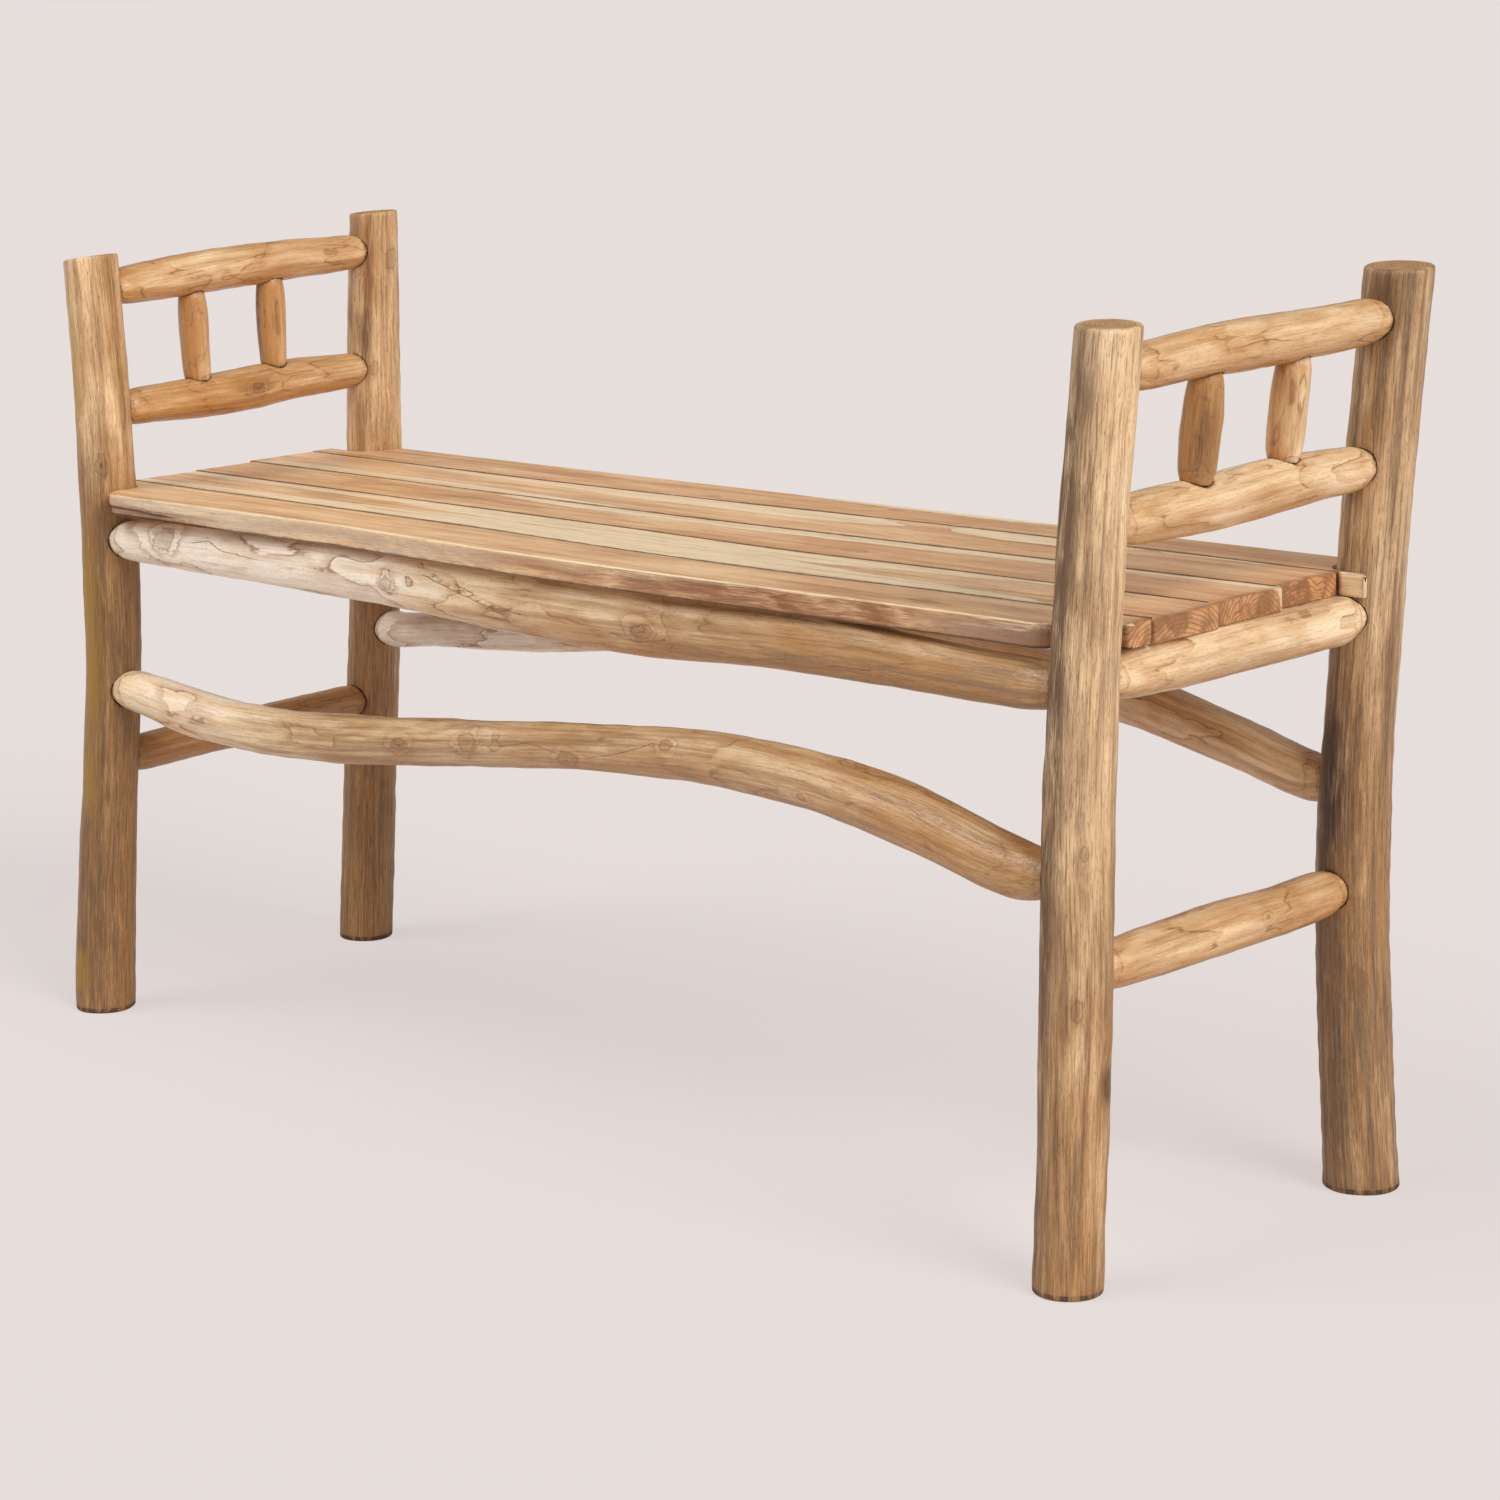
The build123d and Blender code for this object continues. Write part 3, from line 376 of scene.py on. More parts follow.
class Log:
    """A log's centre line, its directions and its radius, in millimetres along its length."""

    def __init__(self, name, start, direction, across, length, path, swell, ends, taper):
        self.name = name
        self.start = np.array(start, float)
        self.direction = np.array(direction, float)
        self.across = np.array(across, float)
        self.upward = np.cross(self.direction, self.across)
        self.length = length
        self.path = path
        self.swell = swell
        self.ends = ends
        self.taper = taper
        self.mouths = []
        self.hosts = []

    def centre(self, s):
        aside = smooth(self.path, s)
        return (
            self.start
            + self.direction * np.asarray(s, float)[..., None]
            + self.across * aside[..., :1]
            + self.upward * aside[..., 1:2]
        )

    def radius(self, s):
        first, last = self.swell[0][0], self.swell[-1][0]
        sunk = np.maximum(first - s, s - last) / max(self.taper, 1e-6)
        shrink = SHOULDER_TAPER * np.clip(sunk, 0, 1) if self.taper else 0.0
        return smooth(self.swell, s)[..., 0] - shrink

    def point(self, s, angle, radius):
        return (
            self.centre(s)
            + self.across * (radius * np.cos(angle))[..., None]
            + self.upward * (radius * np.sin(angle))[..., None]
        )

    def height_over(self, points):
        """How far points lie outside the log's smooth surface."""
        place = (points - self.start) @ self.direction
        return np.linalg.norm(points - self.centre(place), axis=-1) - self.radius(place)

    def place_of(self, point):
        """The place along the log and the angle round it that a point lies at."""
        place = (point - self.start) @ self.direction
        outward = point - self.centre(place)
        return place, math.atan2(self.upward @ outward, self.across @ outward)


def make_logs():
    """All the logs by name, with each joint's mouth noted on its host."""
    logs = {}
    for name, (x, y, height, stations) in POSTS.items():
        path = [(share * height, dx, dy) for share, dx, dy, _ in stations]
        swell = [(share * height, POST_RADIUS + added) for share, _, _, added in stations]
        logs[name] = Log(name, (x, y, 0), (0, 0, 1), (1, 0, 0), height, path, swell, (0, height), 0)
    for name, (hosts, heights, end_radius, radius, stations) in RAILS.items():
        hosts = [logs[host] for host in hosts]
        add_member(logs, name, hosts, heights, end_radius, radius, stations, HOUSING_DEPTH)
    for name, (arm, share, swell) in SPINDLES.items():
        hosts = [logs[arm + "_lower_rail"], logs[arm + "_top_rail"]]
        places = [share * host.length for host in hosts]
        stations = [(at, 0, 0, added) for at, added in zip(SPINDLE_STATIONS, swell)]
        sizes = (SPINDLE_END_RADIUS, SPINDLE_RADIUS, stations, SPINDLE_HOUSING_DEPTH)
        add_member(logs, name, hosts, places, *sizes)
    return logs


def add_member(logs, name, hosts, places, end_radius, radius, stations, depth):
    """A log from one host's centre line to another's, with its shoulders let into both."""
    ends = [host.centre(place) for host, place in zip(hosts, places)]
    reach = [float(host.radius(place)) for host, place in zip(hosts, places)]
    length = float(np.linalg.norm(ends[1] - ends[0]))
    direction = (ends[1] - ends[0]) / length
    if abs(direction[2]) < 0.5:
        across = np.cross((0, 0, 1), direction)
        across = across / np.linalg.norm(across)
    else:
        across = np.array((1.0, 0.0, 0.0))
    first, last = reach[0], length - reach[1]
    held = ((0.0, *stations[0][1:]), *stations, (1.0, *stations[-1][1:]))
    path = [(share * length, aside, up) for share, aside, up, _ in held]
    swell = [(first, end_radius)]
    swell += [(share * length, radius + added) for share, _, _, added in stations]
    swell.append((last, end_radius))
    span = (first - depth, last + depth)
    member = Log(name, ends[0], direction, across, length, path, swell, span, depth)
    member.hosts = hosts
    logs[name] = member
    for host, rim, host_radius in zip(hosts, (first, last), reach):
        place, angle = host.place_of(member.centre(rim))
        host.mouths.append((place, angle, end_radius, host_radius - depth))


LOGS = make_logs()


def rings_of_waves(seed, s, angle, waves, sizes, rounds, lengths):
    """Sum of waves a cos(m angle + p + t s) cos(2 pi s / L + q), all but s and angle seeded.

    Waves with more counts m round the log are lower, and each winds slowly round it by t s.
    """
    made = np.random.default_rng(seed)
    total = np.zeros(np.broadcast(s, angle).shape)
    for _ in range(waves):
        m = made.integers(rounds[0], rounds[1] + 1)
        size = made.uniform(*sizes) / (1 + 0.35 * m)
        p, q, turn = made.uniform(0, TAU, 3)
        run = made.uniform(*lengths)
        wound = (turn - 3) * s / WINDING_LENGTH
        total += size * np.cos(m * angle + p + wound) * np.cos(TAU * s / run + q)
    return total


def wrapped(angle):
    return (angle + math.pi) % TAU - math.pi


def grid_faces(rows, columns):
    """Quads between the points of a grid of rows and columns that is closed round the columns."""
    i = np.arange(rows - 1)[:, None]
    j = np.arange(columns)[None, :]
    after = (j + 1) % columns
    corners = (i * columns + j, i * columns + after, (i + 1) * columns + after, (i + 1) * columns + j)
    return np.stack(np.broadcast_arrays(*corners), -1).reshape(-1, 4)


def pole_faces(rows, columns):
    """Triangles from the first and the last row to the two points that follow the grid."""
    ring = np.arange(columns)
    after = (ring + 1) % columns
    total = rows * columns
    last = total - columns
    return np.concatenate([
        np.stack([np.full(columns, total), after, ring], -1),
        np.stack([np.full(columns, total + 1), last + ring, last + after], -1),
    ])


def write_piece(name, points, rows, columns, attributes, material, node):
    """Writes a closed grid in metres, with its attributes, and lets it stand for its CAD node."""
    quads, triangles = grid_faces(rows, columns), pole_faces(rows, columns)
    mesh = bpy.data.meshes.new(name)
    mesh.vertices.add(len(points))
    spots = np.clip((points + SHIFT) * MM, CAD_BOX[0], CAD_BOX[1])
    mesh.vertices.foreach_set("co", spots.astype(np.float32).ravel())
    corners = np.concatenate([quads.ravel(), triangles.ravel()]).astype(np.int32)
    starts = np.concatenate([
        np.arange(len(quads)) * 4,
        len(quads) * 4 + np.arange(len(triangles)) * 3,
    ]).astype(np.int32)
    mesh.loops.add(len(corners))
    mesh.loops.foreach_set("vertex_index", corners)
    mesh.polygons.add(len(starts))
    mesh.polygons.foreach_set("loop_start", starts)
    mesh.update(calc_edges=True)
    for label, values in attributes.items():
        layer = mesh.attributes.new(label, "FLOAT_VECTOR", "POINT")
        layer.data.foreach_set("vector", values.astype(np.float32).ravel())
    mesh.set_sharp_from_angle(angle=math.radians(SHARP_ANGLE))
    mesh.materials.append(material)
    piece = bpy.data.objects.new(name, mesh)
    bpy.context.scene.collection.objects.link(piece)
    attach(piece, "root")
    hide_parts(node)
    return piece


def line_distance(lines, along, aside):
    """Nearest of some lines: aside less the line's own place there, plus what is past its ends.

    Each line is a function of the place along, so the distance keeps its sign across it.
    """
    nearest = np.full(along.shape, NO_CRACK)
    for line in lines:
        places, values = np.array(line, float).T
        past = np.clip(np.maximum(places[0] - along, along - places[-1]), 0, None)
        gap = aside(np.interp(along, places, values))
        signed = np.where(gap < 0, gap - past, gap + past)
        nearest = np.where(np.abs(signed) < np.abs(nearest), signed, nearest)
    return nearest


def stain_amounts(stains, along, aside):
    """Darkness and yellow: the sum over the stains of amount exp(-(a / A)^4 - (b / B)^2).

    Here a is the distance along and A the half length, b is the distance aside and B the half
    width.
    """
    dark, yellow = np.zeros(along.shape), np.zeros(along.shape)
    for place, where, half_length, half_width, darkness, yellowness in stains:
        fade = np.exp(-(((along - place) / half_length) ** 4) - (aside(where) / half_width) ** 2)
        dark += darkness * fade
        yellow += yellowness * fade
    return np.clip(dark, 0, 1), np.clip(yellow, 0, 1)


def log_rows(log, step, rim):
    """Rows of the log's grid: place along it, inset from its surface, share of its radius.

    Each end has flat rings from its middle out, then rows round its rim, a quarter circle.
    """
    low, high = log.ends
    side = np.linspace(low, high, int((high - low) / step) + 1)
    clear = rim * 1.2
    inner = side[(side > low + clear) & (side < high - clear)]
    bend = np.radians((0, 22.5, 45, 67.5))
    rings = (0.12, 0.3, 0.5, 0.68, 0.84)
    start = [(low, rim, k) for k in rings]
    start += [(low + rim * (1 - math.cos(b)), rim * (1 - math.sin(b)), 1) for b in bend]
    finish = [(low + high - place, inset, k) for place, inset, k in reversed(start)]
    return np.array([*start, *((s, 0, 1) for s in inner), *finish])


def add_knots(log, s, angle, radius, fade):
    """Adds each knot's low bump with its dimple, and gives the nearest knot's distance in sizes.

    At q sizes from a knot of height h the radius grows by h exp(-q^2) (1 - 0.6 exp(-(2.6 q)^2)).
    """
    knot = np.full(s.shape, NO_KNOT)
    for place, degrees, size, height in KNOTS.get(log.name, ()):
        turn = wrapped(angle - math.radians(degrees))
        lateral = radius * np.sin(np.clip(turn, -1.5, 1.5))
        q = np.hypot(lateral, (s - place) * KNOT_STRETCH) / size
        q = np.where(np.abs(turn) < 1.4, q, NO_KNOT)
        radius = radius + fade * height * np.exp(-(q**2)) * (1 - 0.6 * np.exp(-((2.6 * q) ** 2)))
        knot = np.minimum(knot, q)
    return radius, knot


def cut_mouths(log, s, angle, radius, side, step, crevice, seed):
    """Sinks the surface inside each joint's mouth to its floor, with the grid drawn to its rim.

    The points nearest to the rim move onto it and the next ones close to it, so that the dark
    gap round the joint, whose darkness is painted shade, stays thin. A ragged gouge, exp(-d / 1.5)
    at d millimetres outside the rim, follows it. Gives the distance from the nearest rim in
    millimetres, from which the painted shade is drawn.
    """
    on_rim, drawn_in = 0.6, 2.0  # in mesh steps
    nearest = 0.9  # millimetres from the rim to the first points behind it
    gap = np.full(s.shape, NO_CRACK)
    for place, toward, mouth_radius, floor in log.mouths:
        turn = wrapped(angle - toward)
        near = side & (np.cos(turn) > 0.2)
        lateral, along = radius * np.sin(turn), s - place
        bearing = np.arctan2(along, lateral)
        ragged = rings_of_waves(seed + int(place), 0 * s, bearing, *TORN_RIM)
        edge = mouth_radius + crevice * (1 + 0.5 * ragged)
        away = np.hypot(lateral, along) + 1e-6
        beyond = away - edge - on_rim * step
        reach = (on_rim + drawn_in) * step
        drawn = edge + nearest + beyond * (reach - nearest) / (drawn_in * step)
        target = np.where(beyond < 0, edge, drawn)
        moved = near & (beyond > -2 * on_rim * step) & (beyond < drawn_in * step)
        scale = np.where(moved, target / away, 1.0)
        s = np.where(moved, place + along * scale, s)
        turned = np.arcsin(np.clip(lateral * scale / radius, -1, 1))
        angle = np.where(moved, toward + turned, angle)
        away = away * scale
        gouge = np.exp(-np.maximum(away - edge, 0) / 1.5) * np.clip(0.6 + ragged, 0, 1.4)
        radius = np.where(near, radius - crevice * gouge, radius)
        inside = near & (away < edge - 0.5 * step)
        radius = np.where(inside, (floor - 0.3) / np.cos(turn), radius)
        gap = np.where(near, np.minimum(gap, away - edge), gap)
    return s, angle, radius, gap


def sawn_tilt(points, share, slopes):
    """How far a post's top dips below its highest point: a plane, let in near the top."""
    top_rows = 20
    plane = points[..., 0] * slopes[0] + points[..., 1] * slopes[1]
    plane = plane - plane[-top_rows:].max()
    return plane * np.clip((share - (1 - TILT_SHARE)) / TILT_SHARE, 0, 1)


def grown_radius(log, s, angle, seed, settings):
    """The radius with its swellings, dents and noses, and how fully they are let in there.

    A rail's thumb-like nose adds n (exp(-d / 28) - exp(-d / 5)) at d millimetres from its post.
    """
    radius = log.radius(s)
    fade = 1.0
    if log.hosts:
        inward = np.minimum(s - log.swell[0][0], log.swell[-1][0] - s)
        fade = np.clip(inward / FADE_LENGTH, 0, 1)
        nose = settings.nose * min(1.0, log.length / SHORT_LOG)
        near = np.clip(inward, 0, None)
        slow, fast = NOSE_LENGTHS
        radius = radius + nose * (np.exp(-near / slow) - np.exp(-near / fast))
    swelling = rings_of_waves(seed, s, angle, *SWELLINGS)
    dents = rings_of_waves(seed + 7, s, angle, *DENTS)
    return radius + fade * settings.relief * (swelling + dents - MEAN_SWELLING), fade


def log_piece(log, material, settings, flat_top=None):
    """The log's surface: P(s, a) = C(s) + R(s, a) (cos a U + sin a V), closed by its two ends.

    R is the grown radius with the knots and the joints' mouths. A post's ends are sawn, with a
    rounded rim. Its top slants. A seat rail swells up to the planks and is planed flat there.
    """
    seed = sum(ord(letter) * (i + 3) for i, letter in enumerate(log.name))
    step = settings.mesh_step
    low, high = log.ends
    is_post = not log.hosts
    rows = log_rows(log, step, settings.rim_round if is_post else HIDDEN_RIM)
    columns = int(TAU * float(np.mean(log.radius(np.linspace(low, high, 9)))) / step)
    s = np.repeat(rows[:, :1], columns, 1)
    angle = np.repeat((np.arange(columns) * TAU / columns)[None, :], len(rows), 0)
    side = np.repeat(rows[:, 2:] == 1, columns, 1)

    radius, fade = grown_radius(log, s, angle, seed, settings)
    radius, knot = add_knots(log, s, angle, radius, fade)
    s, angle, radius, gap = cut_mouths(log, s, angle, radius, side, step, settings.crevice, seed)
    reach = (radius - rows[:, 1:2]) * rows[:, 2:]
    points = log.point(s, angle, reach)
    if is_post:
        points[..., 2] += sawn_tilt(points, s / log.length, TOP_SLOPES[log.name])
        # painted contact shadow: each post is drawn dark at its foot, where it stands on the floor
        gap = np.minimum(gap, 0.6 * (s - FOOT_SHADOW))
    # painted shade: a rail is drawn darker where it meets the surface of its post
    for host in log.hosts:
        gap = np.minimum(gap, host.height_over(points) + 0.15)
    if log.name in LIFTS:
        middle, lifts = LIFTS[log.name]
        top = np.exp(-((wrapped(angle - math.radians(middle)) / LIFT_WIDTH) ** 2))
        points[..., 2] += fade * top * smooth(lifts, s / log.length)[..., 0]
    if flat_top is not None:
        points[..., 2] = np.minimum(points[..., 2], flat_top)

    def round_distance(degrees):
        return MARK_RADIUS * wrapped(angle - np.radians(degrees))

    def with_poles(values):
        return np.concatenate([values.reshape(-1, 3), values[[0, -1], 0]])

    spiral = angle + s * settings.spiral / 1000 + seed
    offset = seed % 97 * 20  # each log has its own stretch of the figure
    grain = np.stack([reach * np.cos(spiral), reach * np.sin(spiral), s + offset], -1) * MM
    pole_grain = np.array([(0, 0, low + offset), (0, 0, high + offset)]) * MM
    tones = smooth(TONES.get(log.name, DEFAULT_TONES), s / log.length)
    # painted shade: each rail's tone is made darker towards its underside
    under = 0.0 if is_post else settings.underside * np.clip(-np.sin(angle), 0, 1)
    sawn = np.where(side, 0.0, float(is_post))
    crack = line_distance(CRACKS.get(log.name, ()), s, round_distance)
    stained = stain_amounts(STAINS.get(log.name, ()), s, round_distance)
    attributes = {
        "grain": np.concatenate([grain.reshape(-1, 3), pole_grain]),
        "look": with_poles(np.stack([tones[..., 0] + under, tones[..., 1], gap], -1)),
        "marks": with_poles(np.stack([knot, sawn, np.full(s.shape, -NO_CRACK)], -1)),
        "flaws": with_poles(np.stack([crack, *stained], -1)),
    }
    points = np.concatenate([points.reshape(-1, 3), points[[0, -1]].mean(1)])
    name = log.name + "_wood"
    return write_piece(name, points, len(rows), columns, attributes, material, log.name)


# ---------------------------------------------------------------- planks
def seat_corner():
    """The seat's middle in X and its front edge in Y, from the posts at the planks' underside."""
    height = SEAT_HEIGHT - PLANK_THICKNESS
    centres = np.array([LOGS[name].centre(np.array(height)) for name in POSTS])
    depth = sum(PLANK_WIDTHS) + PLANK_GAP * (len(PLANK_WIDTHS) - 1)
    middle = centres.mean(0)
    return middle[0], middle[1] - depth / 2


def plank_place(index):
    """Where a plank starts in X, and where its front edge lies in Y but for the strays."""
    middle, front = seat_corner()
    front += sum(PLANK_WIDTHS[: index - 1]) + PLANK_GAP * (index - 1)
    return middle + PLANK_SHIFTS[index - 1] - PLANK_LENGTH / 2, front


def plank_end(index):
    """Where a plank's right end lies in X."""
    return plank_place(index)[0] + PLANK_LENGTH + PLANK_ENDS[index - 1]


def notch_posts(index):
    """The posts that a plank is notched round, each with its side of the bench."""
    names = {1: FRONT, len(PLANK_WIDTHS): BACK}.get(index, ())
    found = []
    for name, side in zip(names, (-1, 1)):
        height = np.array(SEAT_HEIGHT - PLANK_THICKNESS)
        reach = float(LOGS[name].radius(height)) + NOTCH_GAP
        found.append((LOGS[name].centre(height), reach, side))
    return found


def plank_edges(index, x):
    """Front and back edge of a plank at each X: the sawn edges' strays and the post notches."""
    start, front = plank_place(index)
    share = (x - start) / PLANK_LENGTH
    near = front + smooth(EDGE_STRAYS[index - 1], share)[..., 0]
    far = front + PLANK_WIDTHS[index - 1] + smooth(EDGE_STRAYS[index], share)[..., 0]
    for centre, reach, side in notch_posts(index):
        outward = side * (x - centre[0])
        bow = np.sqrt(np.clip(reach**2 - outward**2, 0, None))
        cut = np.where(outward > 0, reach, bow)
        notched = outward > -reach
        if index == 1:
            to_corner = np.clip(CORNER_ROUND + reach + outward, 0, CORNER_ROUND)
            near = near + CORNER_ROUND - np.sqrt(CORNER_ROUND**2 - to_corner**2)
            near = np.where(notched, np.maximum(near, centre[1] + cut), near)
        else:
            far = np.where(notched, np.minimum(far, centre[1] - cut), far)
    return near, far


def plank_section(width, step, arris):
    """The plank's section from its lower front corner: share of the width, offset, height.

    It goes along the bottom, up the back, round both arrises and down the front, which has the
    most rows, for the front plank's grooves and lip.
    """
    turn = np.radians((0, 30, 60, 90))
    high = PLANK_THICKNESS - arris
    front_heights = (high, 14.5, 12.5, 10.5, 8.5, 7.5, 6.5, 4.5, 2.5, 0.3)
    section = [(0, 0.3, 0.0)]
    section += [(k, 0.0, 0.0) for k in np.linspace(0.05, 0.95, 8)]
    section += [(1, -0.3, 0.0)]
    section += [(1, 0.0, z) for z in (0.3, 6, 11, high)]
    section += [(1, -arris * (1 - math.cos(b)), high + arris * math.sin(b)) for b in turn[1:]]
    across = np.linspace(0, 1, int(width / step) + 1)
    section += [(k, arris * (1 - 2 * k), PLANK_THICKNESS) for k in across[-2:0:-1]]
    section += [(0, arris * (1 - math.cos(b)), high + arris * math.sin(b)) for b in turn[:0:-1]]
    section += [(0, 0.0, z) for z in front_heights]
    return np.array(section).T


def wane(share, height, seed):
    """The front plank's weathered edge: shallow grooves along it, and a step under its left end.

    The step is cut in over the heights below 8 mm, with a soft lip above it at 7.8 mm.
    """
    grooves = rings_of_waves(seed, share * 1100, height * 0.9, *GROOVES)
    middle = 0.09  # share of the length at which the step is deepest
    under = np.clip(1 - np.abs(share - middle) / middle, 0, 1) ** 0.5
    step = 3.2 * under * np.clip((8.0 - height) / 1.2, 0, 1)
    lip = 1.6 * np.clip(1 - np.abs(height - 7.8) / 1.2, 0, 1) * under
    return 0.5 + 0.6 * np.abs(grooves) + step + lip


def end_rows(body, inward, arris):
    """Closes an end: the end row drawn in round the rim, then smaller copies of it.

    The underside keeps most of its height there. The last copy is closed by the centre given.
    """
    follows = 0.15  # share of the drawing in that the underside takes part in
    row = body[0]
    centre = row.mean(0)
    half = np.array((np.inf, np.ptp(row[:, 1]) / 2, PLANK_THICKNESS / 2))
    rows = []
    for b in np.radians((90, 60, 30, 0)):
        drawn = centre + (row - centre) * (1 - arris * (1 - math.sin(b)) / half)
        under = row[:, 2] < centre[2]
        drawn[under, 2] = row[under, 2] + follows * (drawn[under, 2] - row[under, 2])
        drawn[:, 0] = row[:, 0] + inward * arris * (1 - math.cos(b))
        rows.append(drawn)
    flat = rows[-1]
    rows += [centre + (flat - centre) * np.array((1, k, k)) for k in (0.85, 0.65, 0.4, 0.15)]
    return rows[::-1], centre


def plank_grid(index, settings):
    """A plank's rows of points: its rounded section carried along X between its two edges.

    A point of the section lies at y = near + k (far - near) + offset, with k its share of the
    width, so the arrises keep their size where the width changes. The saw's flutter dips the
    top. Rows that draw in round a worn rim close the ends, and shrink to the poles given too.
    """
    step, worn = settings.mesh_step, settings.end_round
    start, end = plank_place(index)[0], plank_end(index)
    x = np.linspace(start, end, int(PLANK_LENGTH / step) + 1)
    for centre, reach, side in notch_posts(index):
        inner = centre[0] - side * reach
        x = np.sort(np.append(x[np.abs(x - inner) > 0.5], (inner - 0.05, inner + 0.05)))
    near, far = plank_edges(index, x)
    share, offset, height = plank_section(PLANK_WIDTHS[index - 1], step, settings.arris)
    y = near[:, None] + share * (far - near)[:, None] + offset
    z = SEAT_HEIGHT - PLANK_THICKNESS + height + 0 * y
    flutter = rings_of_waves(40 + index, x[:, None], share[None, :] * 3, *FLUTTER)
    on_top = (height > PLANK_THICKNESS - 0.01)[None, :]
    z = z - np.where(on_top, np.abs(flutter) * 0.8, 0)
    if index == 1:
        along = (x[:, None] - start) / PLANK_LENGTH
        face = ((share < 0.01) & (height > 0.2) & (height < PLANK_THICKNESS - 0.2))[None, :]
        y = y + np.where(face, wane(along, height[None, :], 9), 0)
    body = np.stack([np.repeat(x[:, None], len(height), 1), y, z], -1)
    first, first_centre = end_rows(body, 1, worn)
    last, last_centre = end_rows(body[::-1], -1, worn)
    keep = (x > start + worn) & (x < end - worn)
    return np.stack([*first, *body[keep], *last[::-1]]), [first_centre, last_centre]


def strip_depth(strips, shares, across):
    """How deep inside the nearest of some strips each point lies, below zero outside them all."""
    depth = np.full(shares.shape, -NO_CRACK)
    for strip in strips:
        places, low, high = np.array(strip, float).T
        past = np.clip(np.maximum(places[0] - shares, shares - places[-1]), 0, None)
        low, high = np.interp(shares, places, low), np.interp(shares, places, high)
        inside = np.minimum(across - low, high - across) - past * PLANK_LENGTH
        depth = np.maximum(depth, inside)
    return depth


def plank_knots(index, flat, shares, across, below, right_end):
    """Distance to the nearest knot in knot sizes: those in the faces, and one in the right end."""
    knot = np.full(len(flat), NO_KNOT)
    for place, where, size in PLANK_KNOTS.get(index, ()):
        q = np.hypot(across - where, (shares - place) * PLANK_LENGTH * 0.5) / size
        knot = np.minimum(knot, q)
    if index in END_KNOTS:
        middle = plank_place(index)[1] + PLANK_WIDTHS[index - 1] * END_KNOTS[index]
        q = np.hypot(flat[:, 1] - middle, below - PLANK_THICKNESS / 2) / END_KNOT_SIZE
        knot = np.where(flat[:, 0] > right_end, np.minimum(knot, q), knot)
    return knot


def plank_seams(index, flat, below, near, far):
    """Distance to the painted shade of the gap beside the nearest inner edge, which opens and closes
    along it.
    """
    reach = 8.0  # millimetres from an edge within which its seam is drawn
    seams = np.full(len(flat), NO_CRACK)
    for edge, inner in ((near, index > 1), (far, index < len(PLANK_WIDTHS))):
        if inner:
            seams = np.minimum(seams, np.abs(flat[:, 1] - edge))
    opening = rings_of_waves(70 + index, flat[:, 0], 0 * below, *SEAM_OPENING)
    return np.where(seams < reach, seams - 1.2 - 0.7 * opening - 0.8 * below, NO_CRACK)


def front_face(from_edge, shares, below, gap, dark, sap):
    """The front plank's face: grey and brown along it, dark at its lip, with painted shade along its
    foot where it sits over the rail.

    Its upper arris gets a painted highlight, drawn as pale sapwood. Gives its gaps, darkness,
    sapwood with that highlight, and weathering.
    """
    face_depth = 6.0
    near_face = from_edge < face_depth
    face = near_face & (below > 1.0)
    lip = np.interp(shares, *zip(*FRONT_LIP))
    gap = np.where(face & (shares < 0.17), np.abs(below - lip) - 0.9, gap)
    # painted shade: a dark line along the bottom of the face, where the plank sits over the rail
    gap = np.where(face & (below > 15), PLANK_THICKNESS - 1.2 - below, gap)
    browned = np.interp(shares, *zip(*FRONT_BROWN))
    dark = np.where(face, np.maximum(browned, 0.7 * (below > lip)), dark)
    # painted highlight: the upper arris of the front face is drawn as pale sapwood
    sap = np.where(near_face & (below > 0.1) & (below < 2.2), 6.0, sap)
    weather = np.where(face, np.interp(shares, *zip(*FRONT_GREY)), 0.0)
    return gap, dark, sap, weather


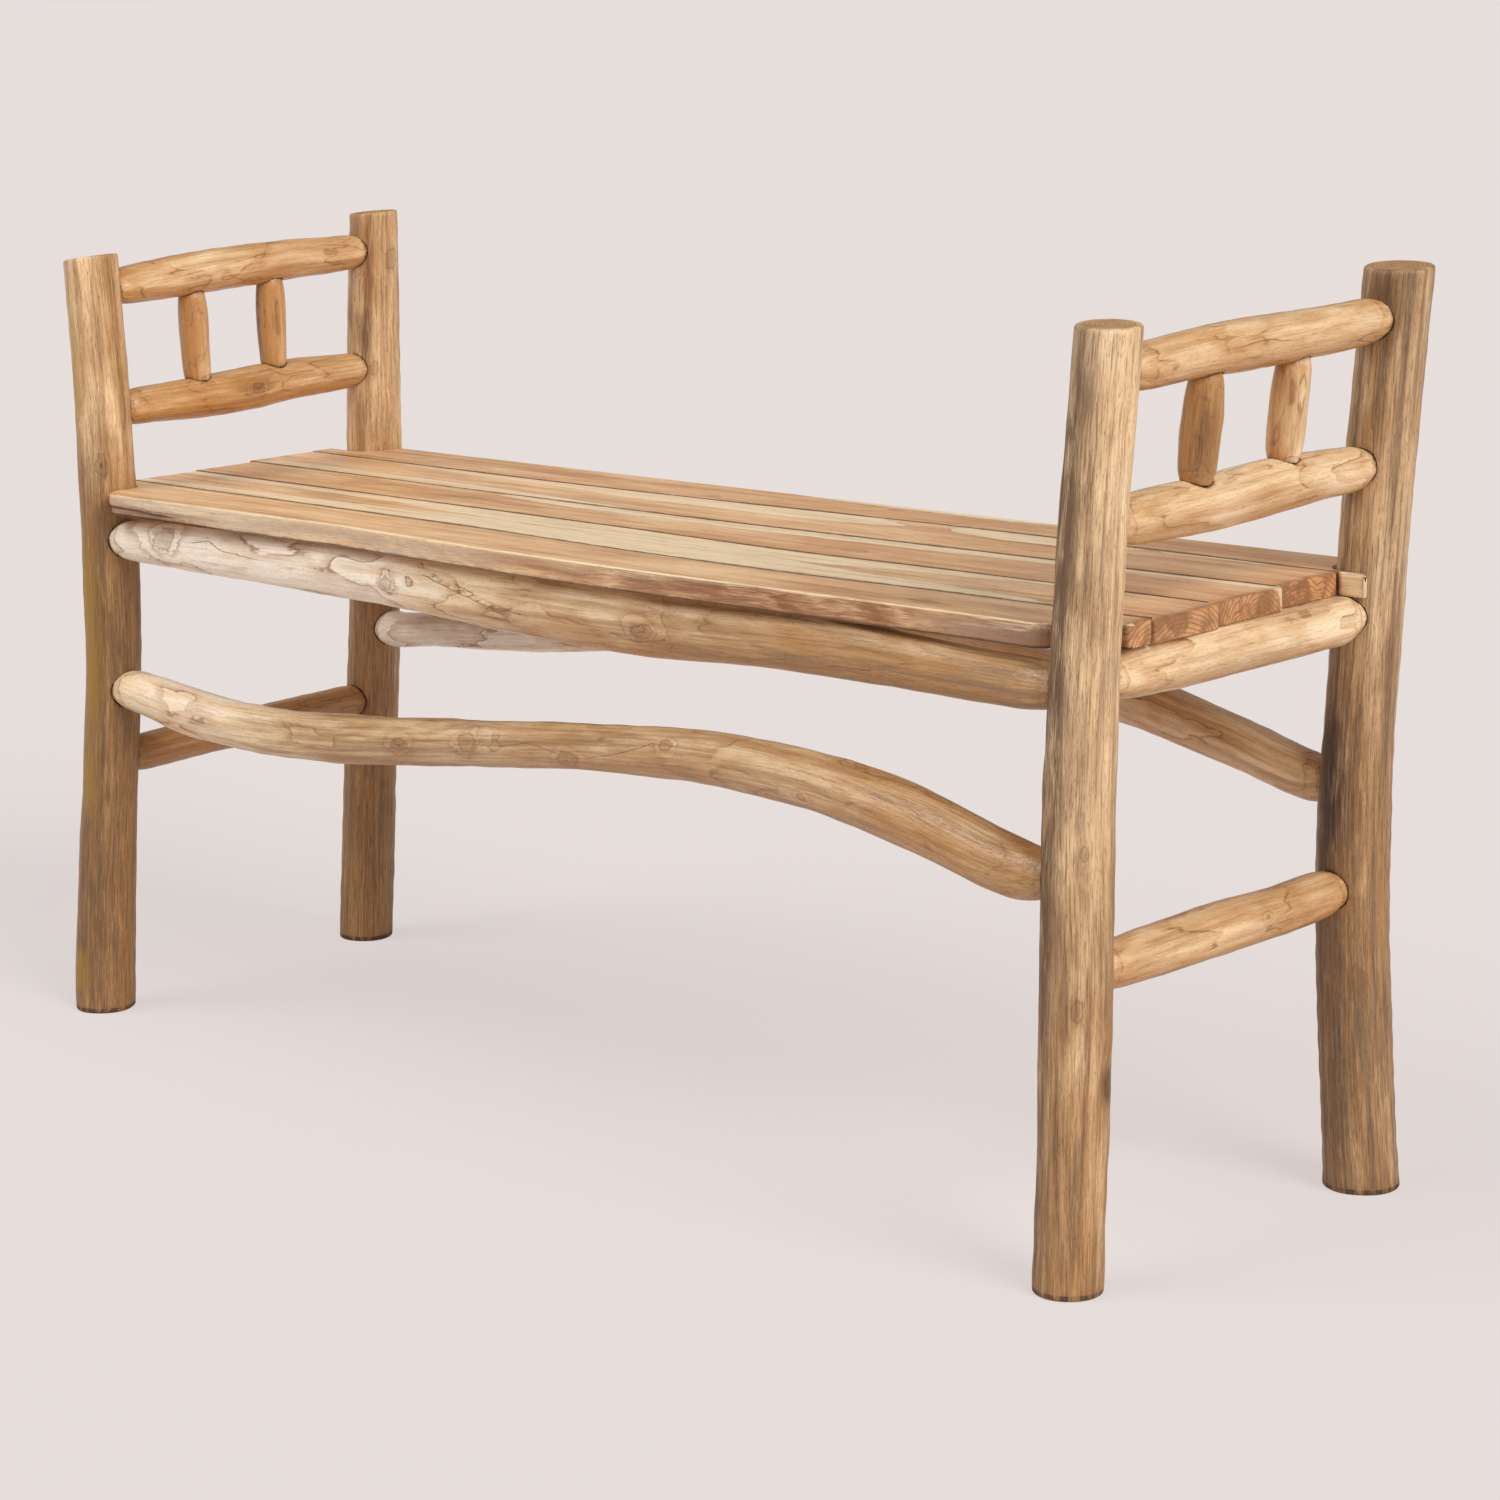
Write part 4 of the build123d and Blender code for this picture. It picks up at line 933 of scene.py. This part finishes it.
def plank_piece(index, material, settings):
    """A plank with its sapwood, knots, lines, stains and sawn ends, and painted shade at its seams.

    The front plank's face also gets a painted highlight and painted shade.
    """
    grid, poles = plank_grid(index, settings)
    rows, columns = grid.shape[:2]
    flat = np.concatenate([grid.reshape(-1, 3), poles])
    start, front = plank_place(index)
    end, worn = plank_end(index), settings.end_round
    near, far = plank_edges(index, flat[:, 0])
    shares = (flat[:, 0] - start) / PLANK_LENGTH
    across = flat[:, 1] + SHIFT[1]
    below = SEAT_HEIGHT - flat[:, 2]
    from_end = np.minimum(flat[:, 0] - start, end - flat[:, 0])

    def across_distance(place):
        return across - place

    heart = strip_depth(HEARTWOOD.get(index, ()), shares, across)
    sap = np.minimum(strip_depth(SAPWOOD[index], shares, across), -heart) - SAP_SLOPE * below
    knot = plank_knots(index, flat, shares, across, below, end - worn)
    lines = [[(at * PLANK_LENGTH, y) for at, y in line] for line in PLANK_LINES.get(index, ())]
    crack = line_distance(lines, shares * PLANK_LENGTH, across_distance)
    stains = [(at * PLANK_LENGTH, *rest, 0.0) for at, *rest in PLANK_STAINS.get(index, ())]
    end_stain = (end - start, front + 40 + SHIFT[1], 7, 60, 0.7, 0.0)
    stains.append(end_stain)
    dark, yellow = stain_amounts(stains, shares * PLANK_LENGTH, across_distance)
    sawn = np.clip(1.3 - from_end / worn, 0, 1)

    neighbours = [k for k in (index - 1, index + 1) if 1 <= k <= len(PLANK_WIDTHS)]
    beside = min(plank_end(k) for k in neighbours)
    gap = plank_seams(index, flat, below, near, far)
    gap = np.where((from_end < 0.5 * worn) | (flat[:, 0] > beside), NO_CRACK, gap)
    weather = np.zeros(len(flat))
    if index == len(PLANK_WIDTHS):  # the back plank's tongue past its neighbour is all sapwood
        tongue = flat[:, 0] > beside + 1
        sap, dark = np.where(tongue, 4.0, sap), np.where(tongue, 0.0, dark)
    if index == 1:
        gap, dark, sap, weather = front_face(flat[:, 1] - near, shares, below, gap, dark, sap)
    tone = PLANK_TONES[index] + settings.tone_shift * (shares - 0.5)
    pith_y, pith_z = PITHS[index]
    along = flat[:, 0] - start + 3000 * index  # each plank has its own stretch of the figure
    attributes = {
        "grain": np.stack([flat[:, 1] - front - pith_y, -below - pith_z, along], -1) * MM,
        "look": np.stack([tone, weather, gap], -1),
        "marks": np.stack([knot, sawn, sap], -1),
        "flaws": np.stack([crack, dark, yellow], -1),
    }
    name = f"seat_plank_{index}"
    return write_piece(name + "_wood", flat, rows, columns, attributes, material, name)


# ---------------------------------------------------------------- finishes
def linear(code):
    """An sRGB hex colour as linear red, green, blue and full alpha."""
    values = [int(code[i : i + 2], 16) / 255 for i in (1, 3, 5)]
    return (*(v / 12.92 if v <= 0.04045 else ((v + 0.055) / 1.055) ** 2.4 for v in values), 1.0)


LEVELS = ("Value", "From Min", "From Max", "To Min", "To Max")
# The kinds of node by plain names: Blender's name, the inputs that plain values go to in turn,
# the output that is used, and the settings
KINDS = {
    "attribute": ("Attribute", (), 1, {}),
    "place": ("TexCoord", (), 3, {}),
    "parts": ("SeparateXYZ", (0,), 0, {}),
    "scaled": ("VectorMath", (0, 1), 0, {"operation": "MULTIPLY"}),
    "length": ("VectorMath", (0,), 1, {"operation": "LENGTH"}),
    "times": ("Math", (0, 1), 0, {"operation": "MULTIPLY"}),
    "plus": ("Math", (0, 1), 0, {"operation": "ADD"}),
    "minus": ("Math", (0, 1), 0, {"operation": "SUBTRACT"}),
    "magnitude": ("Math", (0,), 0, {"operation": "ABSOLUTE"}),
    "fraction": ("Math", (0,), 0, {"operation": "FRACT"}),
    "ramp": ("MapRange", LEVELS, 0, {"interpolation_type": "SMOOTHSTEP"}),
    "spread": ("MapRange", ("Value", "To Min", "To Max"), 0, {}),
    "noise": ("TexNoise", ("Vector", "Scale", "Detail", "Roughness", "Distortion"), 0, {}),
    "bands": ("TexWave", ("Vector", "Scale", "Distortion"), 1, {"bands_direction": "Y"}),
    "mix": ("Mix", (0, 6, 7), 2, {"data_type": "RGBA"}),
    "tint": ("Mix", (0, 6, 7), 2, {"data_type": "RGBA", "blend_type": "MULTIPLY"}),
    "bump": ("Bump", ("Height", "Strength", "Distance"), 0, {}),
    "skin": ("BsdfPrincipled", (), 0, {}),
    "diffuse": ("BsdfDiffuse", ("Color",), 0, {}),
    "glow": ("Emission", ("Color", "Strength"), 0, {}),
    "background": ("Background", ("Color", "Strength"), 0, {}),
    "camera_ray": ("LightPath", (), 0, {}),
    "either": ("MixShader", (0, 1, 2), 0, {}),
    "material": ("OutputMaterial", ("Surface",), None, {}),
    "world": ("OutputWorld", ("Surface",), None, {}),
}


def add(tree, kind, *values, **changes):
    """Adds a node of one of the kinds, with its settings and links, and gives back its output.

    The values go to the kind's inputs in turn, or one dictionary says which value goes where.
    """
    label, sockets, output, settings = KINDS[kind]
    node = tree.nodes.new("ShaderNode" + label)
    for setting, value in {**settings, **changes}.items():
        setattr(node, setting, value)
    named = values and isinstance(values[0], dict)
    for socket, value in values[0].items() if named else zip(sockets, values):
        if isinstance(value, bpy.types.NodeSocket):
            tree.links.new(value, node.inputs[socket])
        else:
            node.inputs[socket].default_value = value
    return node if output is None else node.outputs[output]


def new_material(name):
    material = bpy.data.materials.new(name)
    material.use_nodes = True
    material.node_tree.nodes.clear()
    return material, material.node_tree


# Teak's colours, by what they belong to
PEELED_COLOURS = {
    "pale": "#f2d6ae", "tan": "#be884e", "line": "#86552d", "grey": "#93734f",
    "shade": "#b08458", "pore": "#75502e", "sap": "#fbeedd", "end": "#b98a5c",
    "stain": "#8a6d50", "dark": "#2c1b0e", "yellow": "#b58c28",
}
POST_COLOURS = {
    "pale": "#f2cda0", "tan": "#ab7b46", "line": "#7d5633", "grey": "#6c5a47",
    "shade": "#927250", "pore": "#63462d", "sap": "#f4dfbf", "end": "#b98a60",
    "stain": "#6c5a47", "dark": "#2c1b0e", "yellow": "#a8801c",
}
PLANED_COLOURS = {
    "pale": "#f5ce9e", "tan": "#d39b68", "line": "#8a5730", "grey": "#dac8b0",
    "shade": "#ad7e52", "pore": "#74492a", "sap": "#f6dfb8", "end": "#85532f",
    "stain": "#9a7350", "dark": "#2a180b", "yellow": "#b58c28",
}
# A finish's figure. In millimetres: a growth ring's width and a streak's. How far the rings
# wander, in rings. The rest are strengths, and rough is the dullness of the smoothest spots.
# seam is the lowest strength of the painted shade in the gaps
PEELED = {
    "ring": 2.6, "streak": 1.9, "wave": 2.4, "lines": 0.6, "late": 0.42, "streaks": 0.36,
    "fibres": 0.42, "rough": 0.2, "seam": 0.25,
}
POST = {
    "ring": 3.4, "streak": 1.4, "wave": 1.2, "lines": 0.16, "late": 0.05, "streaks": 0.52,
    "fibres": 0.8, "rough": 0.4, "seam": 0.25,
}
PLANED = {
    "ring": 3.6, "streak": 1.9, "wave": 2.2, "lines": 0.3, "late": 0.16, "streaks": 0.4,
    "fibres": 0.42, "rough": 0.3, "seam": 0.75,
}


def teak(name, colours, figure, fibre_depth):
    """Peeled, sanded or planed teak, worked out in the log's own space.

    To the eye: growth rings that come out as thin red-brown contour lines where the surface cuts
    across them, long straight fibres, short dark pores, grey-brown streaks, and a soft sheen.
    """
    material, tree = new_material(name)
    put = partial(add, tree)
    colour = {label: linear(code) for label, code in colours.items()}
    wave, streaks, fibres, rough = (figure[key] for key in ("wave", "streaks", "fibres", "rough"))
    grain = put("attribute", attribute_name="grain")
    channels = []
    for label in ("look", "marks", "flaws"):
        channels += put("parts", put("attribute", attribute_name=label)).node.outputs
    tone, weather, gap, knot, sawn, sapwood, crack, stained, yellow = channels

    patterns = []
    # millimetres across the fibres and along them, then detail, roughness and distortion
    for across, along, *values in (
        (38, 210, 2.0, 0.5, 0.4),
        (17, 62, 3.0, 0.55, 0.6),
        (7, 190, 2.0, 0.5),
        (figure["streak"], 85, 3.0, 0.6),
        (0.85, 24, 3.0, 0.65),
        (0.55, 6, 1.0, 0.5),
        (6.5, 13, 2.0, 0.5, 0.8),
    ):
        place = put("scaled", grain, (1000 / across, 1000 / across, 1000 / along))
        patterns.append(put("noise", place, 1.0, *values))
    cloud, patch, band, streak, fibre, fleck, gnarl = patterns

    def swing(value, amount):
        """The value about its middle of 0.5, as plus or minus half the amount."""
        return put("times", put("minus", value, 0.5), amount)

    def part_of(value, low, high, share):
        """A share of a smooth step, which goes from 0 to 1 between two levels of the value."""
        return put("times", put("ramp", value, low, high), share)

    # growth rings: the distance from the pith, bent by the cloud and drawn round the knots
    knot = put("plus", knot, put("plus", swing(patch, 1.0), swing(gnarl, 1.1)))
    field = put("length", put("scaled", grain, (1000 / figure["ring"], 1000 / figure["ring"], 0.0)))
    for value, amount in ((cloud, wave), (patch, 0.35 * wave), (streak, 0.16)):
        field = put("plus", field, put("times", value, amount))
    ring = put("fraction", put("plus", field, put("ramp", knot, 0.0, 2.4, 1.5, 0.0)))
    thin = put("times", put("ramp", ring, 0.885, 0.945), put("ramp", ring, 1.0, 0.97))
    shown = put("plus", put("ramp", band, 0.4, 0.56), put("ramp", knot, 2.2, 1.2, 0.0, 0.3))
    line = put("times", thin, put("times", shown, figure["lines"]))

    for value, amount in ((cloud, 1.3), (patch, 0.9), (band, 0.7)):
        tone = put("plus", tone, swing(value, amount))
    # sapwood, with a ragged edge along the fibres
    edge = put("plus", sapwood, put("plus", swing(streak, 9.0), swing(fibre, 3.0)))
    in_sap = put("ramp", edge, -0.7, 0.9)
    rim = put("ramp", put("magnitude", edge), 1.6, 0.4)
    rim = put("times", rim, put("ramp", cloud, 0.42, 0.56))
    broad = put("plus", put("ramp", streak, 0.44, 0.62), put("ramp", band, 0.42, 0.62))
    greyed = put("times", put("plus", broad, 0.6), put("times", weather, 0.36))
    # stains, and cracks that break up along their length
    mottle = put("ramp", put("plus", swing(fibre, 0.7), patch), 0.18, 0.56)
    wander = put("plus", crack, put("plus", swing(patch, 9.0), swing(streak, 1.6)))
    split = put("ramp", put("magnitude", wander), 0.7, 0.2)
    split = put("times", split, put("ramp", patch, 0.36, 0.52))
    # painted shade in the gaps round the joints, along the planks' seams and at the front plank's foot,
    # a painted contact shadow at the posts' feet, and the dark line at the front plank's lip;
    # all with torn fibres at their edge
    torn = put("plus", gap, swing(fibre, 0.8))
    seam = put("ramp", gnarl, 0.38, 0.58, figure["seam"], 0.75)
    seam = put("times", put("ramp", torn, 0.4, 0.0), seam)
    # a softer painted shade beside the gaps
    beside = put("times", put("ramp", torn, 3.5, 0.3, 0.0, 0.45), put("ramp", gnarl, 0.4, 0.6))
    # sawn ends: rings and radial checks in darker wood
    end = put("mix", put("ramp", patch, 0.35, 0.65), colour["end"], colour["tan"])
    arcs = put("times", put("ramp", ring, 0.55, 0.95), put("ramp", ring, 1.0, 0.96))
    for share, over in (
        (put("times", arcs, 0.8), "pore"),
        (put("ramp", fibre, 0.54, 0.66, 0.0, 0.6), "pore"),
        (put("times", in_sap, 0.6), "sap"),
    ):
        end = put("mix", share, end, colour[over])
    colour["sawn"] = end
    from_ring = put("magnitude", put("plus", knot, -0.72))

    # the tone also carries painted shade: darker on the rails' undersides and towards the posts' feet
    base = put("mix", put("ramp", tone, 0.0, 1.0), colour["pale"], colour["tan"])
    for laid, share, over in (
        ("mix", put("ramp", tone, 0.1, -0.55), "sap"),
        ("mix", part_of(ring, 0.45, 0.95, figure["late"]), "tan"),
        ("mix", put("times", in_sap, 0.92), "sap"),
        ("mix", put("times", rim, 0.45), "line"),
        ("mix", line, "line"),
        # broad bands, streaks and fibres
        ("tint", part_of(band, 0.5, 0.66, 0.55 * streaks), "shade"),
        ("tint", part_of(streak, 0.5, 0.68, 0.75 * streaks), "shade"),
        ("mix", part_of(streak, 0.46, 0.32, 0.3 * streaks), "pale"),
        ("mix", greyed, "grey"),
        ("tint", part_of(fibre, 0.5, 0.7, 0.65 * fibres), "shade"),
        ("mix", part_of(fibre, 0.44, 0.3, 0.28 * fibres), "pale"),
        ("mix", part_of(fleck, 0.6, 0.72, 0.75 * fibres), "pore"),
        # knots: a tan eye within a thin dark ring, and a dark heart
        ("mix", put("ramp", knot, 1.15, 0.35, 0.0, 0.34), "line"),
        ("mix", put("ramp", from_ring, 0.16, 0.04, 0.0, 0.45), "line"),
        ("mix", put("ramp", knot, 0.1, -0.05, 0.0, 0.6), "dark"),
        # stains (on the posts' left sides partly painted shade), cracks, sawn ends, and the painted
        # shade in the gaps
        ("tint", put("times", put("times", stained, mottle), 0.85), "stain"),
        ("mix", put("times", put("times", yellow, mottle), 0.8), "yellow"),
        ("mix", put("times", split, 0.75), "line"),
        ("mix", put("times", sawn, 0.85), "sawn"),
        ("mix", beside, "line"),
        ("mix", seam, "dark"),
    ):
        base = put(laid, share, base, colour[over])

    dull = put("ramp", fibre, 0.3, 0.7, rough, rough + 0.18)
    dull = put("plus", dull, put("times", put("plus", seam, sawn), 0.25))
    height = put("times", fibre, 0.9)
    for value in (
        put("times", streak, 0.9),
        put("times", line, -0.7),
        put("ramp", fleck, 0.6, 0.72, 0.0, -0.6),
        put("times", split, -1.6),
    ):
        height = put("plus", height, value)
    bump = put("bump", height, 0.5, fibre_depth * MM)
    values = {"Base Color": base, "Roughness": dull, "Normal": bump, "IOR": 1.5}
    put("material", put("skin", values))
    return material


def zinc_steel(name):
    """Zinc-plated steel screw: grey, with a fine cloudy dullness on its turned head.

    A cloud is about 1.1 mm wide, which is 0.9 of them in a millimetre.
    """
    material, tree = new_material(name)
    cloud = add(tree, "noise", add(tree, "place"), 0.9 / MM, 3.0)
    colour = add(tree, "mix", cloud, linear("#9c9a92"), linear("#c9c7bf"))
    dull = add(tree, "spread", cloud, 0.3, 0.5)
    values = {"Base Color": colour, "Metallic": 1.0, "Roughness": dull}
    add(tree, "material", add(tree, "skin", values))
    return material


def sawn_batten(name):
    """Rough-sawn teak batten: dull tan, saw marks across it every 4 mm, fine fibres along it.

    A fibre is 1.1 mm wide and 33 mm long, coarser than real ones so that it shows. The texture
    has a band every 2 pi / 20 of its unit, so a scale of 80 puts the saw marks 3.9 mm apart.
    """
    material, tree = new_material(name)
    place = add(tree, "place")
    drawn_out = add(tree, "scaled", place, (0.9 / MM, 0.03 / MM, 0.9 / MM))
    fibre = add(tree, "noise", drawn_out, 1.0, 3.0)
    saw = add(tree, "bands", place, 80.0, 1.0)
    colour = add(tree, "mix", fibre, linear("#8c6743"), linear("#b98f60"))
    bump = add(tree, "bump", add(tree, "plus", saw, fibre), 0.4, 0.6 * MM)
    values = {"Base Color": colour, "Roughness": 0.8, "Normal": bump}
    add(tree, "material", add(tree, "skin", values))
    return material


# ---------------------------------------------------------------- settings
def size(name, description, default, low, high):
    """A property for a plain number."""
    return FloatProperty(name=name, description=description, default=default, min=low, max=high)


class LogBenchLogs(bpy.types.PropertyGroup):
    """Sizes of the peeled logs' surfaces."""

    mesh_step: size("Mesh Step", "Distance between mesh points in millimetres", 1.9, 0.8, 6.0)
    relief: size("Relief", "Strength of the logs' natural swellings", 0.8, 0.0, 2.0)
    nose: size("Nose", "Fullness of a rail near its post, in millimetres", 1.8, 0.0, 4.0)
    rim_round: size("Rim Round", "Rounding of the sawn post ends in millimetres", 2.4, 0.5, 6.0)
    crevice: size("Crevice", "Gap round a rail where it enters a post, in millimetres", 0.25, 0.1, 3.0)
    spiral: size("Spiral", "Turn of the fibres in radians for each metre", 0.35, -2.0, 2.0)
    # painted shade: how much darker each rail's colour is made on its underside
    underside: size("Underside", "How much darker a rail is below", 0.35, 0.0, 1.0)
    fibre_depth: size("Fibre Depth", "Depth of the fibres in millimetres", 0.5, 0.0, 2.0)


class LogBenchSeat(bpy.types.PropertyGroup):
    """Sizes of the planks' surfaces."""

    mesh_step: size("Mesh Step", "Distance between mesh points in millimetres", 2.5, 1.0, 10.0)
    arris: size("Arris", "Rounding of the planks' long edges in millimetres", 1.6, 0.3, 5.0)
    end_round: size("End Round", "Wear of the planks' end edges in millimetres", 3.0, 0.5, 6.0)
    tone_shift: size("Tone Shift", "How much darker the planks are at the right end", 0.1, -1.0, 1.0)
    fibre_depth: size("Fibre Depth", "Depth of the fibres in millimetres", 0.3, 0.0, 2.0)


class LogBenchStudio(bpy.types.PropertyGroup):
    """The floor's colour and the lamps."""

    floor: FloatVectorProperty(
        name="Floor", description="Colour the floor shows", subtype="COLOR", size=3,
        default=linear("#e5dddb")[:3],
    )
    shadow: size("Shadow", "Share of the floor's shade that the camera sees", 0.25, 0.0, 1.0)
    ambient: size("Ambient", "Strength of the even light from all round", 0.31, 0.0, 3.0)
    key: size("Key", "Strength of the lamp from the upper right", 2.6, 0.0, 10.0)
    top: size("Top", "Strength of the lamp from above", 1.35, 0.0, 10.0)


class LogBenchSettings(bpy.types.PropertyGroup):
    """All of the bench's settings."""

    logs: PointerProperty(type=LogBenchLogs)
    seat: PointerProperty(type=LogBenchSeat)
    studio: PointerProperty(type=LogBenchStudio)


# ---------------------------------------------------------------- operators
def build_logs(context, names, material_name, colours, figure, slot, flat_top=None):
    settings = context.scene.log_bench.logs
    material = bpy.data.materials.get(material_name)
    material = material or teak(material_name, colours, figure, settings.fibre_depth)
    for name in names:
        log_piece(LOGS[name], material, settings, flat_top)


def build_rails(context, names, flat_top=None):
    finish = ("peeled_teak_rails", PEELED_COLOURS, PEELED, "rail_wood")
    build_logs(context, names, *finish, flat_top)


class LOGBENCH_OT_posts(bpy.types.Operator):
    """Build the four posts"""

    bl_idname = "log_bench.posts"
    bl_label = "Posts"

    def execute(self, context):
        build_logs(context, POSTS, "peeled_teak_posts", POST_COLOURS, POST, "post_wood")
        return {"FINISHED"}


class LOGBENCH_OT_arms(bpy.types.Operator):
    """Build the arm rails and their spindles"""

    bl_idname = "log_bench.arms"
    bl_label = "Arms"

    def execute(self, context):
        build_rails(context, [*(name for name in RAILS if "arm" in name), *SPINDLES])
        return {"FINISHED"}


class LOGBENCH_OT_seat_rails(bpy.types.Operator):
    """Build the four seat rails, planed flat under the planks"""

    bl_idname = "log_bench.seat_rails"
    bl_label = "Seat Rails"

    def execute(self, context):
        rails = [name for name in RAILS if "seat_rail" in name]
        build_rails(context, rails, SEAT_HEIGHT - PLANK_THICKNESS - SEAT_GAP)
        return {"FINISHED"}


class LOGBENCH_OT_stretchers(bpy.types.Operator):
    """Build the four stretchers"""

    bl_idname = "log_bench.stretchers"
    bl_label = "Stretchers"

    def execute(self, context):
        build_rails(context, [name for name in RAILS if "stretcher" in name])
        return {"FINISHED"}


class LOGBENCH_OT_planks(bpy.types.Operator):
    """Build the seat's planks"""

    bl_idname = "log_bench.planks"
    bl_label = "Planks"

    def execute(self, context):
        settings = context.scene.log_bench.seat
        material = teak("planed_teak_planks", PLANED_COLOURS, PLANED, settings.fibre_depth)
        for index in range(1, len(PLANK_WIDTHS) + 1):
            plank_piece(index, material, settings)
        return {"FINISHED"}


class LOGBENCH_OT_hidden(bpy.types.Operator):
    """Finish the cross bearer and the screws under the seat"""

    bl_idname = "log_bench.hidden"
    bl_label = "Bearer and Screws"

    def execute(self, context):
        steel, batten = zinc_steel("zinc_plated_steel"), sawn_batten("sawn_teak_batten")
        for name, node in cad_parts.items():
            if name.endswith("screws") or name == "cross_bearer":
                finish = batten if name == "cross_bearer" else steel
                for place in node.material_slots:
                    place.material = finish
        return {"FINISHED"}


class LOGBENCH_OT_studio(bpy.types.Operator):
    """Build the floor, the lamps and the camera"""

    bl_idname = "log_bench.studio"
    bl_label = "Studio"

    def execute(self, context):
        settings = context.scene.log_bench.studio
        build_floor(settings)
        build_lamps(settings)
        build_camera()
        return {"FINISHED"}


# ---------------------------------------------------------------- studio
FLOOR_HALF = 60.0
EVEN_LIGHT = (1.0, 0.985, 0.965, 1.0)
LAMP_LIGHT = (1.0, 0.985, 0.96)
CAMERA_TURNS = (43.96, 12.27, -1.29)  # degrees to the right of the front, downwards, and rolled
CAMERA_PLACE = (2.1382, -2.1326, 0.947)
LENS_LENGTH, SENSOR_WIDTH = 89.22, 36.0  # millimetres


def build_floor(settings):
    """A wide matt floor: the plane Z = 0 out to 60 m, so its far edge stays out of the picture.

    The camera sees its plain colour with a share of the light and shade that falls on it.
    """
    half = FLOOR_HALF
    points = [(-half, -half, 0), (half, -half, 0), (half, half, 0), (-half, half, 0)]
    mesh = bpy.data.meshes.new("studio_floor")
    mesh.from_pydata(points, [], [(0, 1, 2, 3)])
    material, tree = new_material("matt_paper_floor")
    clouds = add(tree, "noise", add(tree, "place"), 0.7, 2.0)
    other = (*(value * 0.995 for value in settings.floor), 1.0)
    colour = add(tree, "mix", clouds, (*settings.floor, 1.0), other)
    plain_share = add(tree, "times", add(tree, "camera_ray"), 1.0 - settings.shadow)
    lit, plain = add(tree, "diffuse", colour), add(tree, "glow", colour, 1.0)
    add(tree, "material", add(tree, "either", plain_share, lit, plain))
    mesh.materials.append(material)
    floor = bpy.data.objects.new("studio_floor", mesh)
    bpy.context.scene.collection.objects.link(floor)


def build_lamps(settings):
    """Even light from all round, a wide lamp from the upper right and a narrower one from above."""
    world = bpy.data.worlds.new("studio_light")
    bpy.context.scene.world = world
    world.use_nodes = True
    tree = world.node_tree
    tree.nodes.clear()
    even = add(tree, "background", EVEN_LIGHT, settings.ambient)
    backdrop = add(tree, "background", (*settings.floor, 1.0), 1.0)
    add(tree, "world", add(tree, "either", add(tree, "camera_ray"), even, backdrop))
    for name, strength, spread, place in (
        ("key_lamp", settings.key, 34, (0.82, -0.12, 0.56)),
        ("top_lamp", settings.top, 40, (-0.36, -0.60, 0.71)),
    ):
        lamp = bpy.data.lights.new(name, "SUN")
        lamp.energy = strength
        lamp.angle = math.radians(spread)
        lamp.color = LAMP_LIGHT
        holder = bpy.data.objects.new(name, lamp)
        holder.rotation_mode = "QUATERNION"
        holder.rotation_quaternion = Vector(place).to_track_quat("Z", "Y")
        bpy.context.scene.collection.objects.link(holder)


def build_camera():
    """A long lens from the front right, a little above the arms, rolled slightly."""
    yaw, pitch, roll = (math.radians(v) for v in CAMERA_TURNS)
    level = Vector((-math.sin(yaw), math.cos(yaw), 0))
    forward = level * math.cos(pitch) - Vector((0, 0, math.sin(pitch)))
    right = Vector((math.cos(yaw), math.sin(yaw), 0))
    up = right.cross(forward)
    side = right * math.cos(roll) + up * math.sin(roll)
    top = up * math.cos(roll) - right * math.sin(roll)
    lens = bpy.data.cameras.new("studio_camera")
    lens.sensor_width = SENSOR_WIDTH
    lens.lens = LENS_LENGTH
    lens.clip_start, lens.clip_end = 0.1, 300.0
    camera = bpy.data.objects.new("studio_camera", lens)
    turn = Matrix((side, top, -forward)).transposed().to_4x4()
    camera.matrix_world = Matrix.Translation(CAMERA_PLACE) @ turn
    bpy.context.scene.collection.objects.link(camera)
    bpy.context.scene.camera = camera


class LOGBENCH_PT_panel(bpy.types.Panel):
    """The bench's pieces and settings"""

    bl_idname = "LOGBENCH_PT_panel"
    bl_label = "Log Bench"
    bl_space_type = "VIEW_3D"
    bl_region_type = "UI"
    bl_category = "Log Bench"

    def draw(self, context):
        settings = context.scene.log_bench
        for group in (settings.logs, settings.seat, settings.studio):
            box = self.layout.box()
            for label in group.bl_rna.properties.keys():
                if label not in ("rna_type", "name"):
                    box.prop(group, label)
        for operator in OPERATORS:
            self.layout.operator(operator.bl_idname)


OPERATORS = (
    LOGBENCH_OT_studio,
    LOGBENCH_OT_posts,
    LOGBENCH_OT_arms,
    LOGBENCH_OT_seat_rails,
    LOGBENCH_OT_stretchers,
    LOGBENCH_OT_planks,
    LOGBENCH_OT_hidden,
)
GROUPS = (LogBenchLogs, LogBenchSeat, LogBenchStudio, LogBenchSettings)
CLASSES = (*GROUPS, *OPERATORS, LOGBENCH_PT_panel)


def register():
    for item in CLASSES:
        bpy.utils.register_class(item)
    bpy.types.Scene.log_bench = PointerProperty(type=LogBenchSettings)


def unregister():
    del bpy.types.Scene.log_bench
    for item in reversed(CLASSES):
        bpy.utils.unregister_class(item)


def main():
    register()
    bpy.context.scene.view_settings.view_transform = "Standard"
    for operator in OPERATORS:
        group, name = operator.bl_idname.split(".")
        getattr(getattr(bpy.ops, group), name)()


if __name__ == "__main__":
    main()
